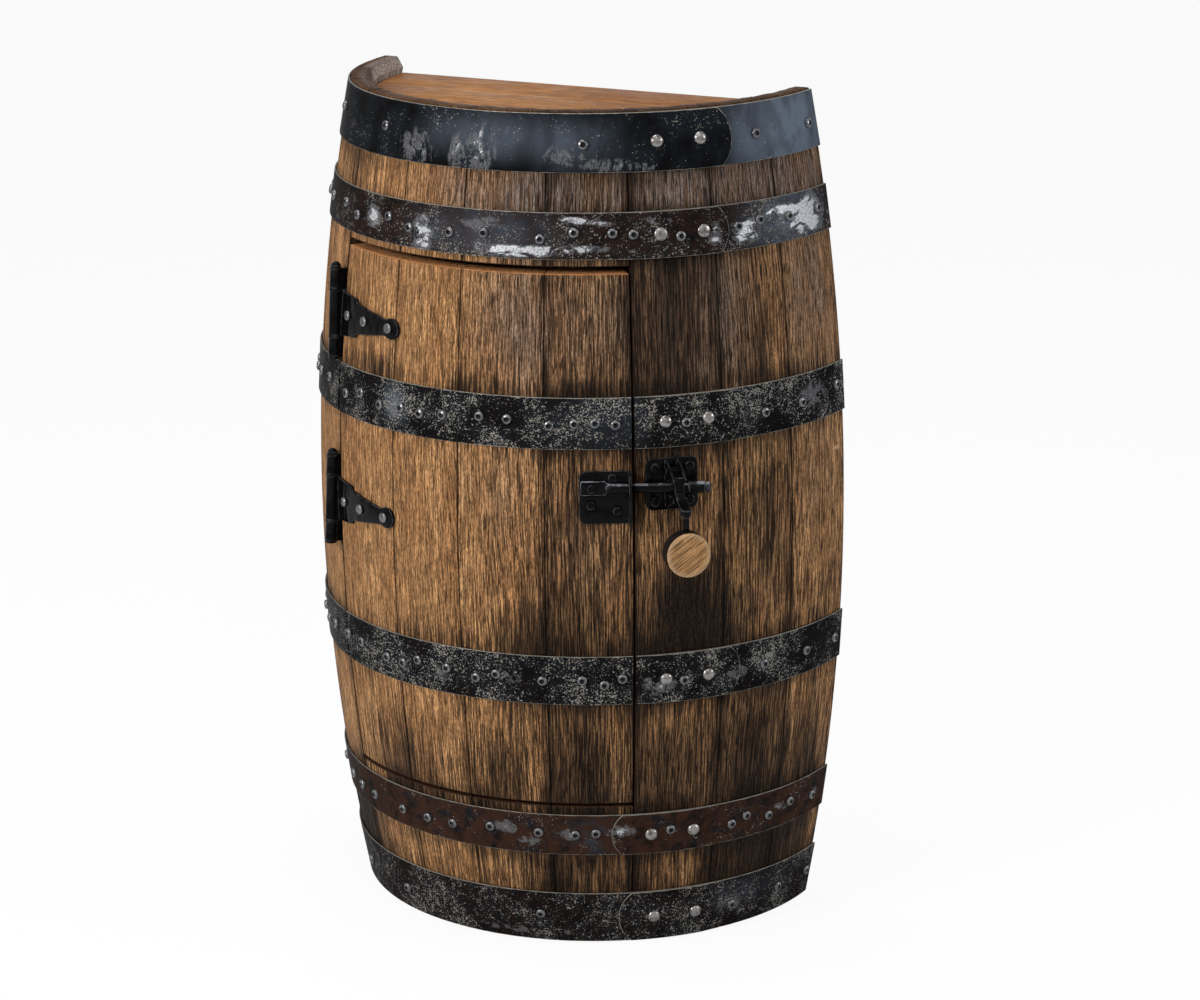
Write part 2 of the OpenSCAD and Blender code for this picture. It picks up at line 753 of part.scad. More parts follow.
// Screws of the hoops, on the fixed staves or on the door
module hoop_screw_set(door) {
    color(zinc)
    for (h = [0:5])
        for (turn = SCREW_TURNS[h])
            if (on_door(h, turn) == door)
                on_stave(turn, screw_z(h, turn))
                pan_screw(screw_seat(h, turn), screw_head_r, screw_head_h);
}
module hoop_screws() { hoop_screw_set(false); }
module door_hoop_screws() { hoop_screw_set(true); }

// Dome rivets that hold the lapped ends of the hoops
module hoop_rivets() {
    dome_r = (rivet_head_r * rivet_head_r + rivet_dome_h * rivet_dome_h) / (2 * rivet_dome_h);
    face = hoop_gap + 2 * hoop_t + 0.1;
    color(zinc)
    for (h = [0:5])
        for (n = [0, 1])
            on_stave(rivet_angle(h, n), hoop_mid(h)) {
                translate([0, 0, hoop_gap])
                cylinder(r = rivet_r, h = face);
                translate([0, 0, face])
                intersection() {
                    translate([0, 0, rivet_dome_h - dome_r])
                    sphere(r = dome_r);
                    cylinder(r = rivet_head_r, h = rivet_dome_h);
                }
            }
}

// The striker plate sits on the door beside the right seam
plate_seat = 0.2;
striker_margin = 3;
striker_z = upper_bilge_z - striker_drop;
striker_turn = right_seam - turn_of(striker_w / 2 + striker_margin, striker_z);
plate_face = plate_seat + plate_t;
striker_screw_xy = [[7.3, 20.4], [-14, bar_rise], [-14.5, -7.7], [12, -14]];
corner_r = 8;
bar_axis = plate_face + bar_r + 0.1;
fold_x = striker_w / 2 - plate_t;

// A rectangle with rounded corners, its middle at the origin
module rounded_rectangle(width, height, radius) {
    square([width - 2 * radius, height], center = true);
    square([width, height - 2 * radius], center = true);
    for (x = [-1, 1])
        for (y = [-1, 1])
            translate([x * (width / 2 - radius), y * (height / 2 - radius)])
            circle(r = radius);
}

module striker_plate() {
    color(iron_black)
    on_stave(striker_turn, striker_z)
    difference() {
        union() {
            translate([0, 0, plate_seat])
            linear_extrude(plate_t)
            union() {
                rounded_rectangle(striker_w, striker_h, corner_r);
                translate([0, -striker_h / 2])
                square([striker_w / 2, striker_h]);
            }
            translate([fold_x, 0, 0])
            rotate([0, 90, 0])
            linear_extrude(plate_t)
            translate([-plate_seat, 0])
            intersection() {
                rounded_rectangle(2 * striker_fold, striker_h, corner_r);
                translate([-striker_fold, -striker_h / 2])
                square([striker_fold, striker_h]);
            }
        }
        for (xy = striker_screw_xy)
            translate([xy[0], xy[1], -over])
            cylinder(r = screw_r + hole_gap, h = plate_t + 3 * over);
        translate([fold_x - over, bar_rise, bar_axis])
        rotate([0, 90, 0])
        cylinder(r = bar_r + hole_gap, h = plate_t + 2 * over);
    }
}

module striker_holes() {
    on_stave(striker_turn, striker_z)
    for (xy = striker_screw_xy)
        translate([xy[0], xy[1], -screw_l - over])
        cylinder(r = screw_r + hole_gap, h = screw_l + 2 * over);
}

// The bar is flattened to a tab at its screw and ends in a collar, a groove and a button
tab_x = -25;
tab_l = 26;
tab_w = 14.4;
tab_t = 4;
neck_l = 4;
collar_r = bar_r + 1.3;
collar_l = 17;
groove_l = 1.6;
button_l = 4.4;
module striker_bar() {
    neck_x = tab_x + tab_l;
    button_x = bar_reach - button_l - neck_x;
    groove_x = button_x - groove_l;
    collar_x = groove_x - collar_l;
    color(iron_black)
    on_stave(striker_turn, striker_z)
    translate([0, bar_rise, 0])
    difference() {
        union() {
            translate([neck_x, 0, bar_axis])
            rotate([0, 90, 0])
            rotate_extrude()
            polygon([
                [0, 0], [bar_r / 2, 0], [bar_r, neck_l], [bar_r, collar_x], [collar_r, collar_x + 0.8],
                [collar_r, groove_x - 0.6], [bar_r - 0.2, groove_x], [bar_r - 0.2, button_x],
                [collar_r - 0.6, button_x + 0.5], [collar_r - 0.2, button_x + 0.35 * button_l],
                [collar_r - 1, button_x + 0.7 * button_l], [bar_r / 2, button_x + button_l], [0, button_x + button_l]
            ]);
            translate([tab_x + tab_l / 2, 0, plate_face + 0.1])
            linear_extrude(tab_t)
            rounded_rectangle(tab_l, tab_w, 2);
            translate([neck_x - over / 2, 0, plate_face + 0.1])
            linear_extrude(tab_t)
            polygon([[0, -tab_w / 2 + 2], [neck_l + over, -bar_r + 0.6], [neck_l + over, bar_r - 0.6], [0, tab_w / 2 - 2]]);
        }
        translate([striker_screw_xy[1][0], 0, 0])
        cylinder(r = screw_r + hole_gap, h = 4 * tab_t);
    }
}

module striker_screws() {
    color(iron_black)
    on_stave(striker_turn, striker_z)
    for (k = [0:len(striker_screw_xy) - 1])
        translate([striker_screw_xy[k][0], striker_screw_xy[k][1], 0])
        pan_screw(k == 1 ? plate_face + tab_t + 0.1 : plate_face, screw_head_r - striker_head_less, screw_head_h);
}

// The latch base on the right stave: a plate with two cheeks, slotted in front for the bar
base_turn = 43;
base_z = striker_z + 11.5;
bolt_x = 18.4;
bolt_y = 17.5;
// Middle of the bar as it crosses the base, seen in the base's frame: out from the staves, and up
bar_cross_r = (stave_r(striker_z) + bar_axis) / cos(base_turn - striker_turn);
slot_out = bar_cross_r - stave_r(base_z);
slot_up = striker_z + bar_rise - base_z - 0.3;
pivot_out = 9.5;
pivot_up = slot_up + bar_r + 11.5;
// The bar crosses the base at a slant, so the slot is deeper than the bar by that and a clearance
bar_slant = (cheek_gap / 2 + cheek_t) * tan(base_turn - striker_turn);
slot_deep = slot_out - bar_r - bar_slant - 1;

module cheek_outline() {
    top = pivot_up + 8;
    difference() {
        polygon([
            [plate_seat + plate_t / 2, -base_h / 2 + 4], [10, -base_h / 2 + 4],
            [cheek_out, slot_up - slot_h / 2 - 4], [cheek_out, slot_up + slot_h / 2 + 4],
            [14, top], [plate_seat + plate_t / 2, base_h / 2 - 3]
        ]);
        translate([slot_deep + slot_h / 2, slot_up])
        circle(r = slot_h / 2);
        translate([slot_deep + slot_h / 2, slot_up - slot_h / 2])
        square([2 * cheek_out, slot_h]);
        translate([pivot_out, pivot_up])
        circle(r = pivot_r + pin_gap);
    }
}

// Turns an outline drawn as out, up into an upright plate of the given thickness, its middle at x = 0
module upright(thickness) {
    translate([thickness / 2, 0, 0])
    rotate([0, -90, 0])
    linear_extrude(thickness)
    children();
}

module latch_base() {
    color(iron_black)
    on_stave(base_turn, base_z)
    union() {
        difference() {
            translate([0, 0, plate_seat])
            linear_extrude(plate_t)
            rounded_rectangle(base_w, base_h, corner_r);
            for (x = [-bolt_x, bolt_x])
                for (y = [-bolt_y, bolt_y])
                    translate([x, y, -over])
                    cylinder(r = screw_r + hole_gap, h = plate_t + 3 * over);
        }
        for (side = [-1, 1])
            translate([side * (cheek_gap + cheek_t) / 2, 0, 0])
            upright(cheek_t)
            cheek_outline();
    }
}

module latch_holes() {
    on_stave(base_turn, base_z)
    for (x = [-bolt_x, bolt_x])
        for (y = [-bolt_y, bolt_y])
            translate([x, y, -screw_l - over])
            cylinder(r = screw_r + hole_gap, h = screw_l + 2 * over);
}

module latch_bolts() {
    color(iron_black)
    on_stave(base_turn, base_z)
    for (x = [-bolt_x, bolt_x])
        for (y = [-bolt_y, bolt_y])
            translate([x, y, 0])
            pan_screw(plate_face, screw_head_r, screw_head_h);
}

// The pin across the cheeks, riveted over at both ends
pin_head_r = 3.6;
pin_head_h = 1.8;
module latch_pin() {
    half = cheek_gap / 2 + cheek_t + 0.1;
    color(iron_black)
    on_stave(base_turn, base_z)
    translate([0, pivot_up, pivot_out])
    rotate([0, 90, 0])
    union() {
        translate([0, 0, -half])
        cylinder(r = pivot_r, h = 2 * half);
        for (side = [0, 1])
            mirror([0, 0, side])
            translate([0, 0, half])
            cylinder(r1 = pin_head_r, r2 = pin_head_r - 0.8, h = pin_head_h);
    }
}

// A bent strip in the plane of the cheeks, its corners mitred
function unit(v) = v / norm(v);
function side_of(v) = [-v[1], v[0]];
function mitre(points, k) =
    k == 0 ? side_of(unit(points[1] - points[0]))
    : k == len(points) - 1 ? side_of(unit(points[k] - points[k - 1]))
    : let (a = side_of(unit(points[k] - points[k - 1])), b = side_of(unit(points[k + 1] - points[k])))
      (a + b) / (1 + a * b);
module bent_strip(points, thickness) {
    last = len(points) - 1;
    polygon(concat(
        [for (k = [0:last]) points[k] + mitre(points, k) * thickness / 2],
        [for (k = [last:-1:0]) points[k] - mitre(points, k) * thickness / 2]
    ));
}

// Lever: an eye on the pivot, over the bar, down in front of it, and out to the knob's neck
hook_out = slot_out + bar_r + 8;
neck_out = 52;
neck_up = slot_up - 16.7;
knob_up = neck_up - 43;
neck_r = 3.4;
boss_r = 5.2;
boss_h = 5;
stud_r = 2.8;
stud_l = 12;
eye_r = 4.5;
module latch_lever() {
    strip = [
        [pivot_out + 1, pivot_up - 0.8], [slot_out + 4, pivot_up - 1], [hook_out - 1, pivot_up - 4.5],
        [hook_out, pivot_up - 8], [hook_out, slot_up - 4], [hook_out + 5.5, slot_up - 8.7], [neck_out, neck_up]
    ];
    width = cheek_gap - 2 * lever_gap;
    knob_top = neck_up - knob_up - knob_r - plank_joint;
    color(iron_black)
    on_stave(base_turn, base_z)
    difference() {
        union() {
            upright(width)
            union() {
                translate([pivot_out, pivot_up])
                circle(r = eye_r);
                bent_strip(strip, lever_t);
            }
            translate([0, neck_up, neck_out])
            rotate([90, 0, 0])
            rotate_extrude()
            polygon([
                [0, -2.4], [boss_r - 0.8, -2.4], [boss_r, -1.4], [boss_r, boss_h - 1], [neck_r, boss_h + 1],
                [neck_r, knob_top], [stud_r, knob_top], [stud_r, knob_top + stud_l], [0, knob_top + stud_l]
            ]);
        }
        translate([0, pivot_up, pivot_out])
        rotate([0, 90, 0])
        cylinder(r = pivot_r + pin_gap, h = 2 * cheek_gap, center = true);
    }
}

// A turned wooden disc whose rim is rounded over, bored from above for the lever's stud
module latch_knob() {
    round_over = 1.6;
    color(honey_oak)
    on_stave(base_turn, base_z)
    translate([0, knob_up, neck_out])
    difference() {
        translate([0, 0, -knob_t / 2])
        rotate_extrude()
        polygon([
            [0, 0], [knob_r - round_over, 0], [knob_r - 0.45 * round_over, 0.3 * round_over],
            [knob_r, round_over], [knob_r, knob_t - round_over],
            [knob_r - 0.45 * round_over, knob_t - 0.3 * round_over], [knob_r - round_over, knob_t], [0, knob_t]
        ]);
        translate([0, knob_r - stud_l - 0.5, 0])
        rotate([-90, 0, 0])
        cylinder(r = stud_r + hole_gap, h = stud_l + over);
    }
}

left_stave_rear();
left_stave_middle();
left_stave_hinge();
right_stave_latch();
right_stave_middle();
right_stave_rear();
upper_stave(0);  // upper_stave_1
upper_stave(1);  // upper_stave_2
upper_stave(2);  // upper_stave_3
upper_stave(3);  // upper_stave_4
lower_stave(0);  // lower_stave_1
lower_stave(1);  // lower_stave_2
lower_stave(2);  // lower_stave_3
lower_stave(3);  // lower_stave_4
door_stave(0);  // door_stave_1
door_stave(1);  // door_stave_2
door_stave(2);  // door_stave_3
door_stave(3);  // door_stave_4
fixed_hoop(0, hoop_black);  // top_head_hoop
fixed_hoop(1, hoop_black);  // upper_quarter_hoop
fixed_hoop(4, hoop_rust);  // lower_quarter_hoop
fixed_hoop(5, hoop_black);  // bottom_head_hoop
hoop_left(2);  // upper_bilge_hoop_left
hoop_door(2);  // upper_bilge_hoop_door
hoop_right(2);  // upper_bilge_hoop_right
hoop_left(3);  // lower_bilge_hoop_left
hoop_door(3);  // lower_bilge_hoop_door
hoop_right(3);  // lower_bilge_hoop_right
top_plank_rear();
top_plank_middle();
top_plank_front();
bottom_head();
back_panel();
upper_shelf();
lower_shelf();
upper_cleat_left();
upper_cleat_right();
lower_cleat_left();
lower_cleat_right();
upper_hinge_leaf();
upper_hinge_strap();
upper_hinge_pin();
lower_hinge_leaf();
lower_hinge_strap();
lower_hinge_pin();
striker_plate();
striker_bar();
latch_base();
latch_pin();
latch_lever();
latch_knob();
hoop_screws();
door_hoop_screws();
hoop_rivets();
strap_screws();
leaf_screws();
striker_screws();
latch_bolts();
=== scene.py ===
"""Half of an oak barrel made into a door cabinet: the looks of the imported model, in metres.

Staves, hoops, hoop screws, rivets and the knob are built again here with rounded edges, laps and recesses, each as
a surface worked out on a numpy grid. Every other CAD node is replaced by a merged copy of its mesh with eased edges.
"""
import json
import logging
import math
from dataclasses import dataclass, replace
from enum import Enum

import bmesh
import bpy
import numpy as np
from mathutils import Matrix, Vector

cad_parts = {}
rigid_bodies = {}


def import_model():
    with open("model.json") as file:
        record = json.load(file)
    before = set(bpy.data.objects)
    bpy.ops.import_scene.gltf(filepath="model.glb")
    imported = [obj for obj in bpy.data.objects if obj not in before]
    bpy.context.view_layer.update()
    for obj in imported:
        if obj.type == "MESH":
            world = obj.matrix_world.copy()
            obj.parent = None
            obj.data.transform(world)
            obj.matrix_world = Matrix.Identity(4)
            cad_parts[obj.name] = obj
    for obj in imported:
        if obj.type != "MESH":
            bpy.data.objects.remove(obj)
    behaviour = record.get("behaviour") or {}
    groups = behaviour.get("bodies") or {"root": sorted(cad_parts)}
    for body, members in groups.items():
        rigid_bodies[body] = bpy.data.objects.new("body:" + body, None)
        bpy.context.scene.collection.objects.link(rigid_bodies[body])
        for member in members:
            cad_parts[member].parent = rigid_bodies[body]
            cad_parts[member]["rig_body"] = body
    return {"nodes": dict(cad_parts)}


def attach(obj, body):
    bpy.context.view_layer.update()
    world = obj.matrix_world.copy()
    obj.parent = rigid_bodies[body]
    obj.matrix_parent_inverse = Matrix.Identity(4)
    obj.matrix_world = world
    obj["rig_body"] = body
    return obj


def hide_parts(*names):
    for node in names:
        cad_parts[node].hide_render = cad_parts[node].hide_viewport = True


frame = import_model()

LOG = logging.getLogger("half_barrel")
Array = np.ndarray
Socket = bpy.types.NodeSocket
Material = bpy.types.Material
Colour = tuple[float, float, float]
Table = tuple[tuple[float, ...], ...]
MM = 0.001


# ---------------------------------------------------------------- shapes


@dataclass(frozen=True)
class Spot:
    """A place on the barrel: x to the right, y up along the stave, z out of the barrel."""

    origin: Array
    axes: Array

    def place(self, points: Array) -> Array:
        """Moves points from this place's own directions into the row frame: origin plus points times axes.

        Args:
            points: Array of shape (..., 3) in the place's own directions.

        Returns:
            Array of the same shape in the row frame.
        """
        return self.origin + points @ self.axes


@dataclass(frozen=True)
class BarrelShape:
    """Sizes of the half barrel and the formulas of its bowed surface."""

    height: float = 889 * MM
    bilge_r: float = 298 * MM
    head_r: float = 254 * MM
    stave_t: float = 25 * MM
    joint: float = 0.3 * MM
    seam: float = 2 * MM
    stave_turns: tuple[float, ...] = (17.5, 19, 17, 19.8, 16.4, 18.2, 17.6, 18.7, 17, 18.8)
    door_first: int = 3
    door_last: int = 7
    door_low: float = 165.5 * MM
    door_high: float = 729 * MM
    door_low_gap: float = 3 * MM
    door_top_gap: float = 7 * MM

    @property
    def bow_r(self) -> float:
        """Radius of the arc that each stave is bent to."""
        rise = self.bilge_r - self.head_r
        return (self.height ** 2 / 4 + rise ** 2) / (2 * rise)

    def stave_r(self, z: Array | float) -> Array:
        """Outside radius at a height: the arc through both ends and the bilge."""
        return self.bilge_r - self.bow_r + np.sqrt(self.bow_r ** 2 - (np.asarray(z) - self.height / 2) ** 2)

    def inner_r(self, z: Array | float) -> Array:
        """Inside radius at a height: the same arc, one stave thickness further in."""
        arc = self.bow_r - self.stave_t
        return self.bilge_r - self.bow_r + np.sqrt(arc ** 2 - (np.asarray(z) - self.height / 2) ** 2)

    def lean(self, z: float) -> float:
        """Lean of the surface towards the back at a height, in radians."""
        return math.asin((z - self.height / 2) / self.bow_r)

    def edge(self, index: int) -> float:
        """Angle of the joint before a stave, in degrees from the front."""
        return -90 + sum(self.stave_turns[:index])

    def turn_of(self, arc: float, z: float) -> float:
        """Angle in degrees that an arc length takes up on the surface at a height."""
        return math.degrees(arc / float(self.stave_r(z)))

    def spot(self, turn: float, z: float) -> Spot:
        """The place on the stave surface at an angle in degrees and a height."""
        angle, lean, reach = math.radians(turn), self.lean(z), float(self.stave_r(z))
        across = (math.cos(angle), math.sin(angle), 0)
        upward = (-math.sin(angle) * math.sin(lean), math.cos(angle) * math.sin(lean), math.cos(lean))
        outward = (math.sin(angle) * math.cos(lean), -math.cos(angle) * math.cos(lean), math.sin(lean))
        origin = np.array((math.sin(angle) * reach, -math.cos(angle) * reach, z))
        return Spot(origin, np.array((across, upward, outward)))


def from_cylinder(turn: Array, reach: Array, height: Array) -> Array:
    """Turns angle, radius and height into points: x = radius sin angle, y = -radius cos angle, z = height.

    Args:
        turn: Angles in radians from the front, positive to the right.
        reach: Distances from the barrel's axis.
        height: Heights over the floor.

    Returns:
        Array of points, one more axis than the inputs.
    """
    turn, reach, height = np.broadcast_arrays(turn, reach, height)
    return np.stack((reach * np.sin(turn), -reach * np.cos(turn), height), axis=-1)


def ripple(along: Array, across: Array, seed: int) -> Array:
    """A smooth uneven field between -1 and 1: a sum of seven sines with seeded directions and phases.

    Args:
        along: First coordinate, in units of one bump.
        across: Second coordinate, in units of one bump.
        seed: Picks the directions and phases.

    Returns:
        Array of the broadcast shape.
    """
    waves = 7
    draw = np.random.default_rng(seed)
    total = np.zeros(np.broadcast(along, across).shape)
    for _ in range(waves):
        fa, fb, phase = draw.uniform(0.4, 1.6), draw.uniform(-1.6, 1.6), draw.uniform(0, 2 * np.pi)
        total = total + np.sin(fa * along + fb * across + phase)
    return total / waves ** 0.5 / 1.5


def sweep_faces(rows: int, loop: int) -> Array:
    """Quads of a closed loop of points carried through rows, with both ends closed by quads across the ribbon.

    The loop holds one side from 0 to half, then the other side back, so point k faces point loop - 1 - k.

    Args:
        rows: Number of rows.
        loop: Number of points in the loop, even.

    Returns:
        Array of quads, facing outwards where the loop turns left round its middle and the rows go up.
    """
    row = np.arange(rows - 1)[:, None] * loop
    here = np.arange(loop)[None, :]
    there = (here + 1) % loop
    walls = np.stack((row + here, row + there, row + loop + there, row + loop + here), axis=-1).reshape(-1, 4)
    k = np.arange(loop // 2 - 1)
    top = (rows - 1) * loop + np.stack((k, k + 1, loop - 2 - k, loop - 1 - k), axis=-1)
    bottom = np.stack((loop - 1 - k, loop - 2 - k, k + 1, k), axis=-1)
    return np.concatenate((walls, top, bottom))


def dome_faces(rings: int, count: int, top: int, base: int) -> list[tuple[int, ...]]:
    """Faces of a closed shape of rings, from the foot up to a pole, with a second pole under the first ring.

    Args:
        rings: Number of rings.
        count: Points in each ring.
        top: Index of the pole over the last ring.
        base: Index of the pole under the first ring.

    Returns:
        Quads between the rings, then the triangles at both poles.
    """
    pairs = [(a, (a + 1) % count) for a in range(count)]
    walls = [(r * count + a, r * count + b, (r + 1) * count + b, (r + 1) * count + a)
             for r in range(rings - 1) for a, b in pairs]
    last = (rings - 1) * count
    return walls + [(last + a, last + b, top) for a, b in pairs] + [(b, a, base) for a, b in pairs]


def linked(name: str, data: bpy.types.ID) -> bpy.types.Object:
    """A new object on its data, at the origin and linked to the scene."""
    made = bpy.data.objects.new(name, data)
    bpy.context.scene.collection.objects.link(made)
    return made


@dataclass
class Shell:
    """Points, faces and named values of one mesh while it is put together."""

    points: list[Array]
    faces: list[tuple[int, ...]]
    values: dict[str, list[Array]]
    count: int = 0

    @classmethod
    def empty(cls, *names: str) -> "Shell":
        """A shell with no points and these value names."""
        return cls([], [], {name: [] for name in names})

    def add(self, points: Array, faces: Array | list, **values: Array | float) -> None:
        """Adds a patch of points with its faces.

        Args:
            points: Array of shape (..., 3).
            faces: Faces as rows of vertex numbers, counted inside the patch.
            **values: One number or array for each value name.
        """
        flat = points.reshape(-1, 3)
        self.points.append(flat)
        self.faces.extend(tuple(int(i) + self.count for i in face) for face in faces)
        for name, chunks in self.values.items():
            chunks.append(np.broadcast_to(values.get(name, 0.0), points.shape[:-1]).reshape(-1))
        self.count += len(flat)

    def build(self, name: str, smooth_angle: float = 40) -> bpy.types.Object:
        """Makes the mesh object, smooth where faces meet at less than an angle.

        Args:
            name: Name of the new piece.
            smooth_angle: Edges sharper than this many degrees stay sharp.

        Returns:
            The new object, linked to the scene, at the origin.
        """
        mesh = bpy.data.meshes.new(name)
        mesh.from_pydata(np.concatenate(self.points).tolist(), [], self.faces)
        for key, chunks in self.values.items():
            layer = mesh.attributes.new(key, "FLOAT", "POINT")
            layer.data.foreach_set("value", np.concatenate(chunks).astype(np.float32))
        mesh.validate()
        mesh.shade_smooth()
        mesh.set_sharp_from_angle(angle=math.radians(smooth_angle))
        mesh.update()
        return linked(name, mesh)


# ---------------------------------------------------------------- node tools


@dataclass(frozen=True)
class Value:
    """An output in a node tree. Sums, differences, products and quotients of it are made by Math nodes."""

    sheet: "NodeSheet"
    socket: Socket

    def __add__(self, other: object) -> "Value":
        """This value plus another."""
        return self.sheet.math("ADD", self, other)

    def __radd__(self, other: object) -> "Value":
        """Another value plus this one."""
        return self.sheet.math("ADD", other, self)

    def __sub__(self, other: object) -> "Value":
        """This value less another."""
        return self.sheet.math("SUBTRACT", self, other)

    def __rsub__(self, other: object) -> "Value":
        """Another value less this one."""
        return self.sheet.math("SUBTRACT", other, self)

    def __mul__(self, other: object) -> "Value":
        """This value times another."""
        return self.sheet.math("MULTIPLY", self, other)

    def __truediv__(self, other: object) -> "Value":
        """This value divided by another."""
        return self.sheet.math("DIVIDE", self, other)


class NodeSheet:
    """Adds nodes to one node tree and joins them."""

    def __init__(self, tree: bpy.types.NodeTree) -> None:
        """Starts on a tree."""
        self.tree = tree

    def add(self, kind: str, **settings: object) -> bpy.types.Node:
        """Adds a node of a kind and sets its properties."""
        node = self.tree.nodes.new(kind)
        for key, value in settings.items():
            setattr(node, key, value)
        return node

    def feed(self, socket: Socket, value: object) -> None:
        """Joins a socket to another, or sets its value.

        Args:
            socket: The input socket.
            value: An output of this tree, a number, a colour or a vector.
        """
        if isinstance(value, Value):
            self.tree.links.new(value.socket, socket)
        elif isinstance(value, (tuple, list)) and socket.type == "RGBA":
            socket.default_value = (*value, 1.0)
        else:
            socket.default_value = value

    def math(self, operation: str, *terms: object, clamp: bool = False) -> Value:
        """One Math node on its terms."""
        node = self.add("ShaderNodeMath", operation=operation, use_clamp=clamp)
        for socket, term in zip(node.inputs, terms):
            self.feed(socket, term)
        return Value(self, node.outputs[0])

    def outs(self, node: bpy.types.Node, *names: str) -> list[Value]:
        """A node's outputs of these names."""
        return [Value(self, node.outputs[name]) for name in names]

    def split(self, vector: Value) -> list[Value]:
        """The three parts of a vector."""
        return self.outs(self.feeds(self.add("ShaderNodeSeparateXYZ"), Vector=vector), "X", "Y", "Z")

    def where(self, kind: str = "Object") -> Value:
        """The point's place, or its normal, in the object's own directions."""
        return self.outs(self.add("ShaderNodeTexCoord"), kind)[0]

    def combine(self, x: object, y: object, z: object) -> Value:
        """A vector from three parts."""
        node = self.add("ShaderNodeCombineXYZ")
        for socket, term in zip(node.inputs, (x, y, z)):
            self.feed(socket, term)
        return Value(self, node.outputs[0])

    def noise(self, vector: object, scale: float, detail: float, rough: float = 0.5, twist: float = 0) -> Value:
        """Noise value on a vector.

        Args:
            vector: Where to read the noise.
            scale: Bumps for each unit of the vector.
            detail: Octaves.
            rough: Share of the finer octaves.
            twist: Distortion.

        Returns:
            The noise, mostly between 0.3 and 0.7.
        """
        node = self.feeds(self.add("ShaderNodeTexNoise"), Vector=vector, Scale=scale, Detail=detail, Roughness=rough,
                          Distortion=twist)
        return self.outs(node, "Fac")[0]

    def remap(self, value: object, low: object, high: object, to_low: object = 0.0,
              to_high: object = 1.0) -> Value:
        """A smooth step from one range to another.

        Args:
            value: The value to change.
            low: Where the step starts.
            high: Where the step ends.
            to_low: Result at the start.
            to_high: Result at the end.

        Returns:
            The stepped value.
        """
        node = self.add("ShaderNodeMapRange", interpolation_type="SMOOTHSTEP")
        for socket, term in zip(node.inputs, (value, low, high, to_low, to_high)):
            self.feed(socket, term)
        return Value(self, node.outputs[0])

    def span(self, value: object, to_low: float, to_high: float) -> Value:
        """A value between 0 and 1 led smoothly over to another range."""
        return self.remap(value, 0.0, 1.0, to_low, to_high)

    def curve(self, value: object, *stops: tuple[float, float]) -> Value:
        """A value looked up between given stops.

        Args:
            value: Position from 0 to 1.
            *stops: Pairs of position and result.

        Returns:
            The looked up value.
        """
        node = self.add("ShaderNodeValToRGB")
        ramp = node.color_ramp
        ramp.interpolation = "EASE"
        while len(ramp.elements) < len(stops):
            ramp.elements.new(0.5)
        for element, (place, result) in zip(ramp.elements, stops):
            element.position = place
            element.color = (result, result, result, 1)
        self.feed(node.inputs[0], value)
        return Value(self, node.outputs[0])

    def mix(self, factor: object, first: object, second: object) -> Value:
        """A colour between two colours.

        Args:
            factor: Share of the second colour.
            first: First colour.
            second: Second colour.

        Returns:
            The mixed colour.
        """
        node = self.add("ShaderNodeMix", data_type="RGBA")
        self.feed(node.inputs[0], factor)
        self.feed(node.inputs[6], first)
        self.feed(node.inputs[7], second)
        return Value(self, node.outputs[2])

    def coats(self, base: object, *layers: tuple[object, object]) -> Value:
        """Lays colours over a base, one after the other.

        Args:
            base: The lowest colour.
            *layers: Pairs of share and colour, from the bottom up.

        Returns:
            The colour on top.
        """
        for share, colour in layers:
            base = self.mix(share, base, colour)
        return base

    def feeds(self, node: bpy.types.Node, **inputs: object) -> bpy.types.Node:
        """Feeds a node's inputs by name, with spaces written as underscores."""
        for name, value in inputs.items():
            self.feed(node.inputs[name.replace("_", " ")], value)
        return node

    def group(self, tree: bpy.types.NodeTree, **inputs: object) -> bpy.types.Node:
        """Places a node group and feeds its inputs."""
        return self.feeds(self.add("ShaderNodeGroup", node_tree=tree), **inputs)

    def read(self, name: str) -> Value:
        """A named value of the mesh."""
        return self.outs(self.add("ShaderNodeAttribute", attribute_name=name), "Fac")[0]

    def spots(self, turn: object, height: object, places: Table) -> Value:
        """Adds up soft oval spots on the barrel's surface.

        Each spot falls smoothly from its strength at its middle to 0 at its rim.

        Args:
            turn: Angle round the barrel in radians.
            height: Height in metres.
            places: Rows of angle in degrees, height, half width in degrees, half height and strength.

        Returns:
            The sum of the spots.
        """
        total: object = 0.0
        for angle, level, wide, tall, strength in places:
            a = (turn - math.radians(angle)) / math.radians(wide)
            b = (height - level) / tall
            far = self.math("SQRT", a * a + b * b)
            total = total + self.remap(far, 0.0, 1.0, strength, 0.0)
        return total

    def blend(self, factor: Value, shaders: tuple[bpy.types.Node, ...], end: bpy.types.Node) -> None:
        """Mixes two shaders and leads the mix to an output node.

        Args:
            factor: Share of the second shader.
            shaders: Both shader nodes.
            end: The output node.
        """
        node = self.add("ShaderNodeMixShader")
        for socket, value in zip(node.inputs, (factor, *(Value(self, shader.outputs[0]) for shader in shaders))):
            self.feed(socket, value)
        self.feed(end.inputs[0], Value(self, node.outputs[0]))

    def bump(self, height: object, depth: float, strength: float) -> Value:
        """A normal from a height.

        Args:
            height: Height between 0 and 1.
            depth: Depth of height 1, in metres.
            strength: How much of the bump shows.

        Returns:
            The bent normal.
        """
        node = self.feeds(self.add("ShaderNodeBump"), Strength=strength, Distance=depth, Height=height)
        return self.outs(node, "Normal")[0]


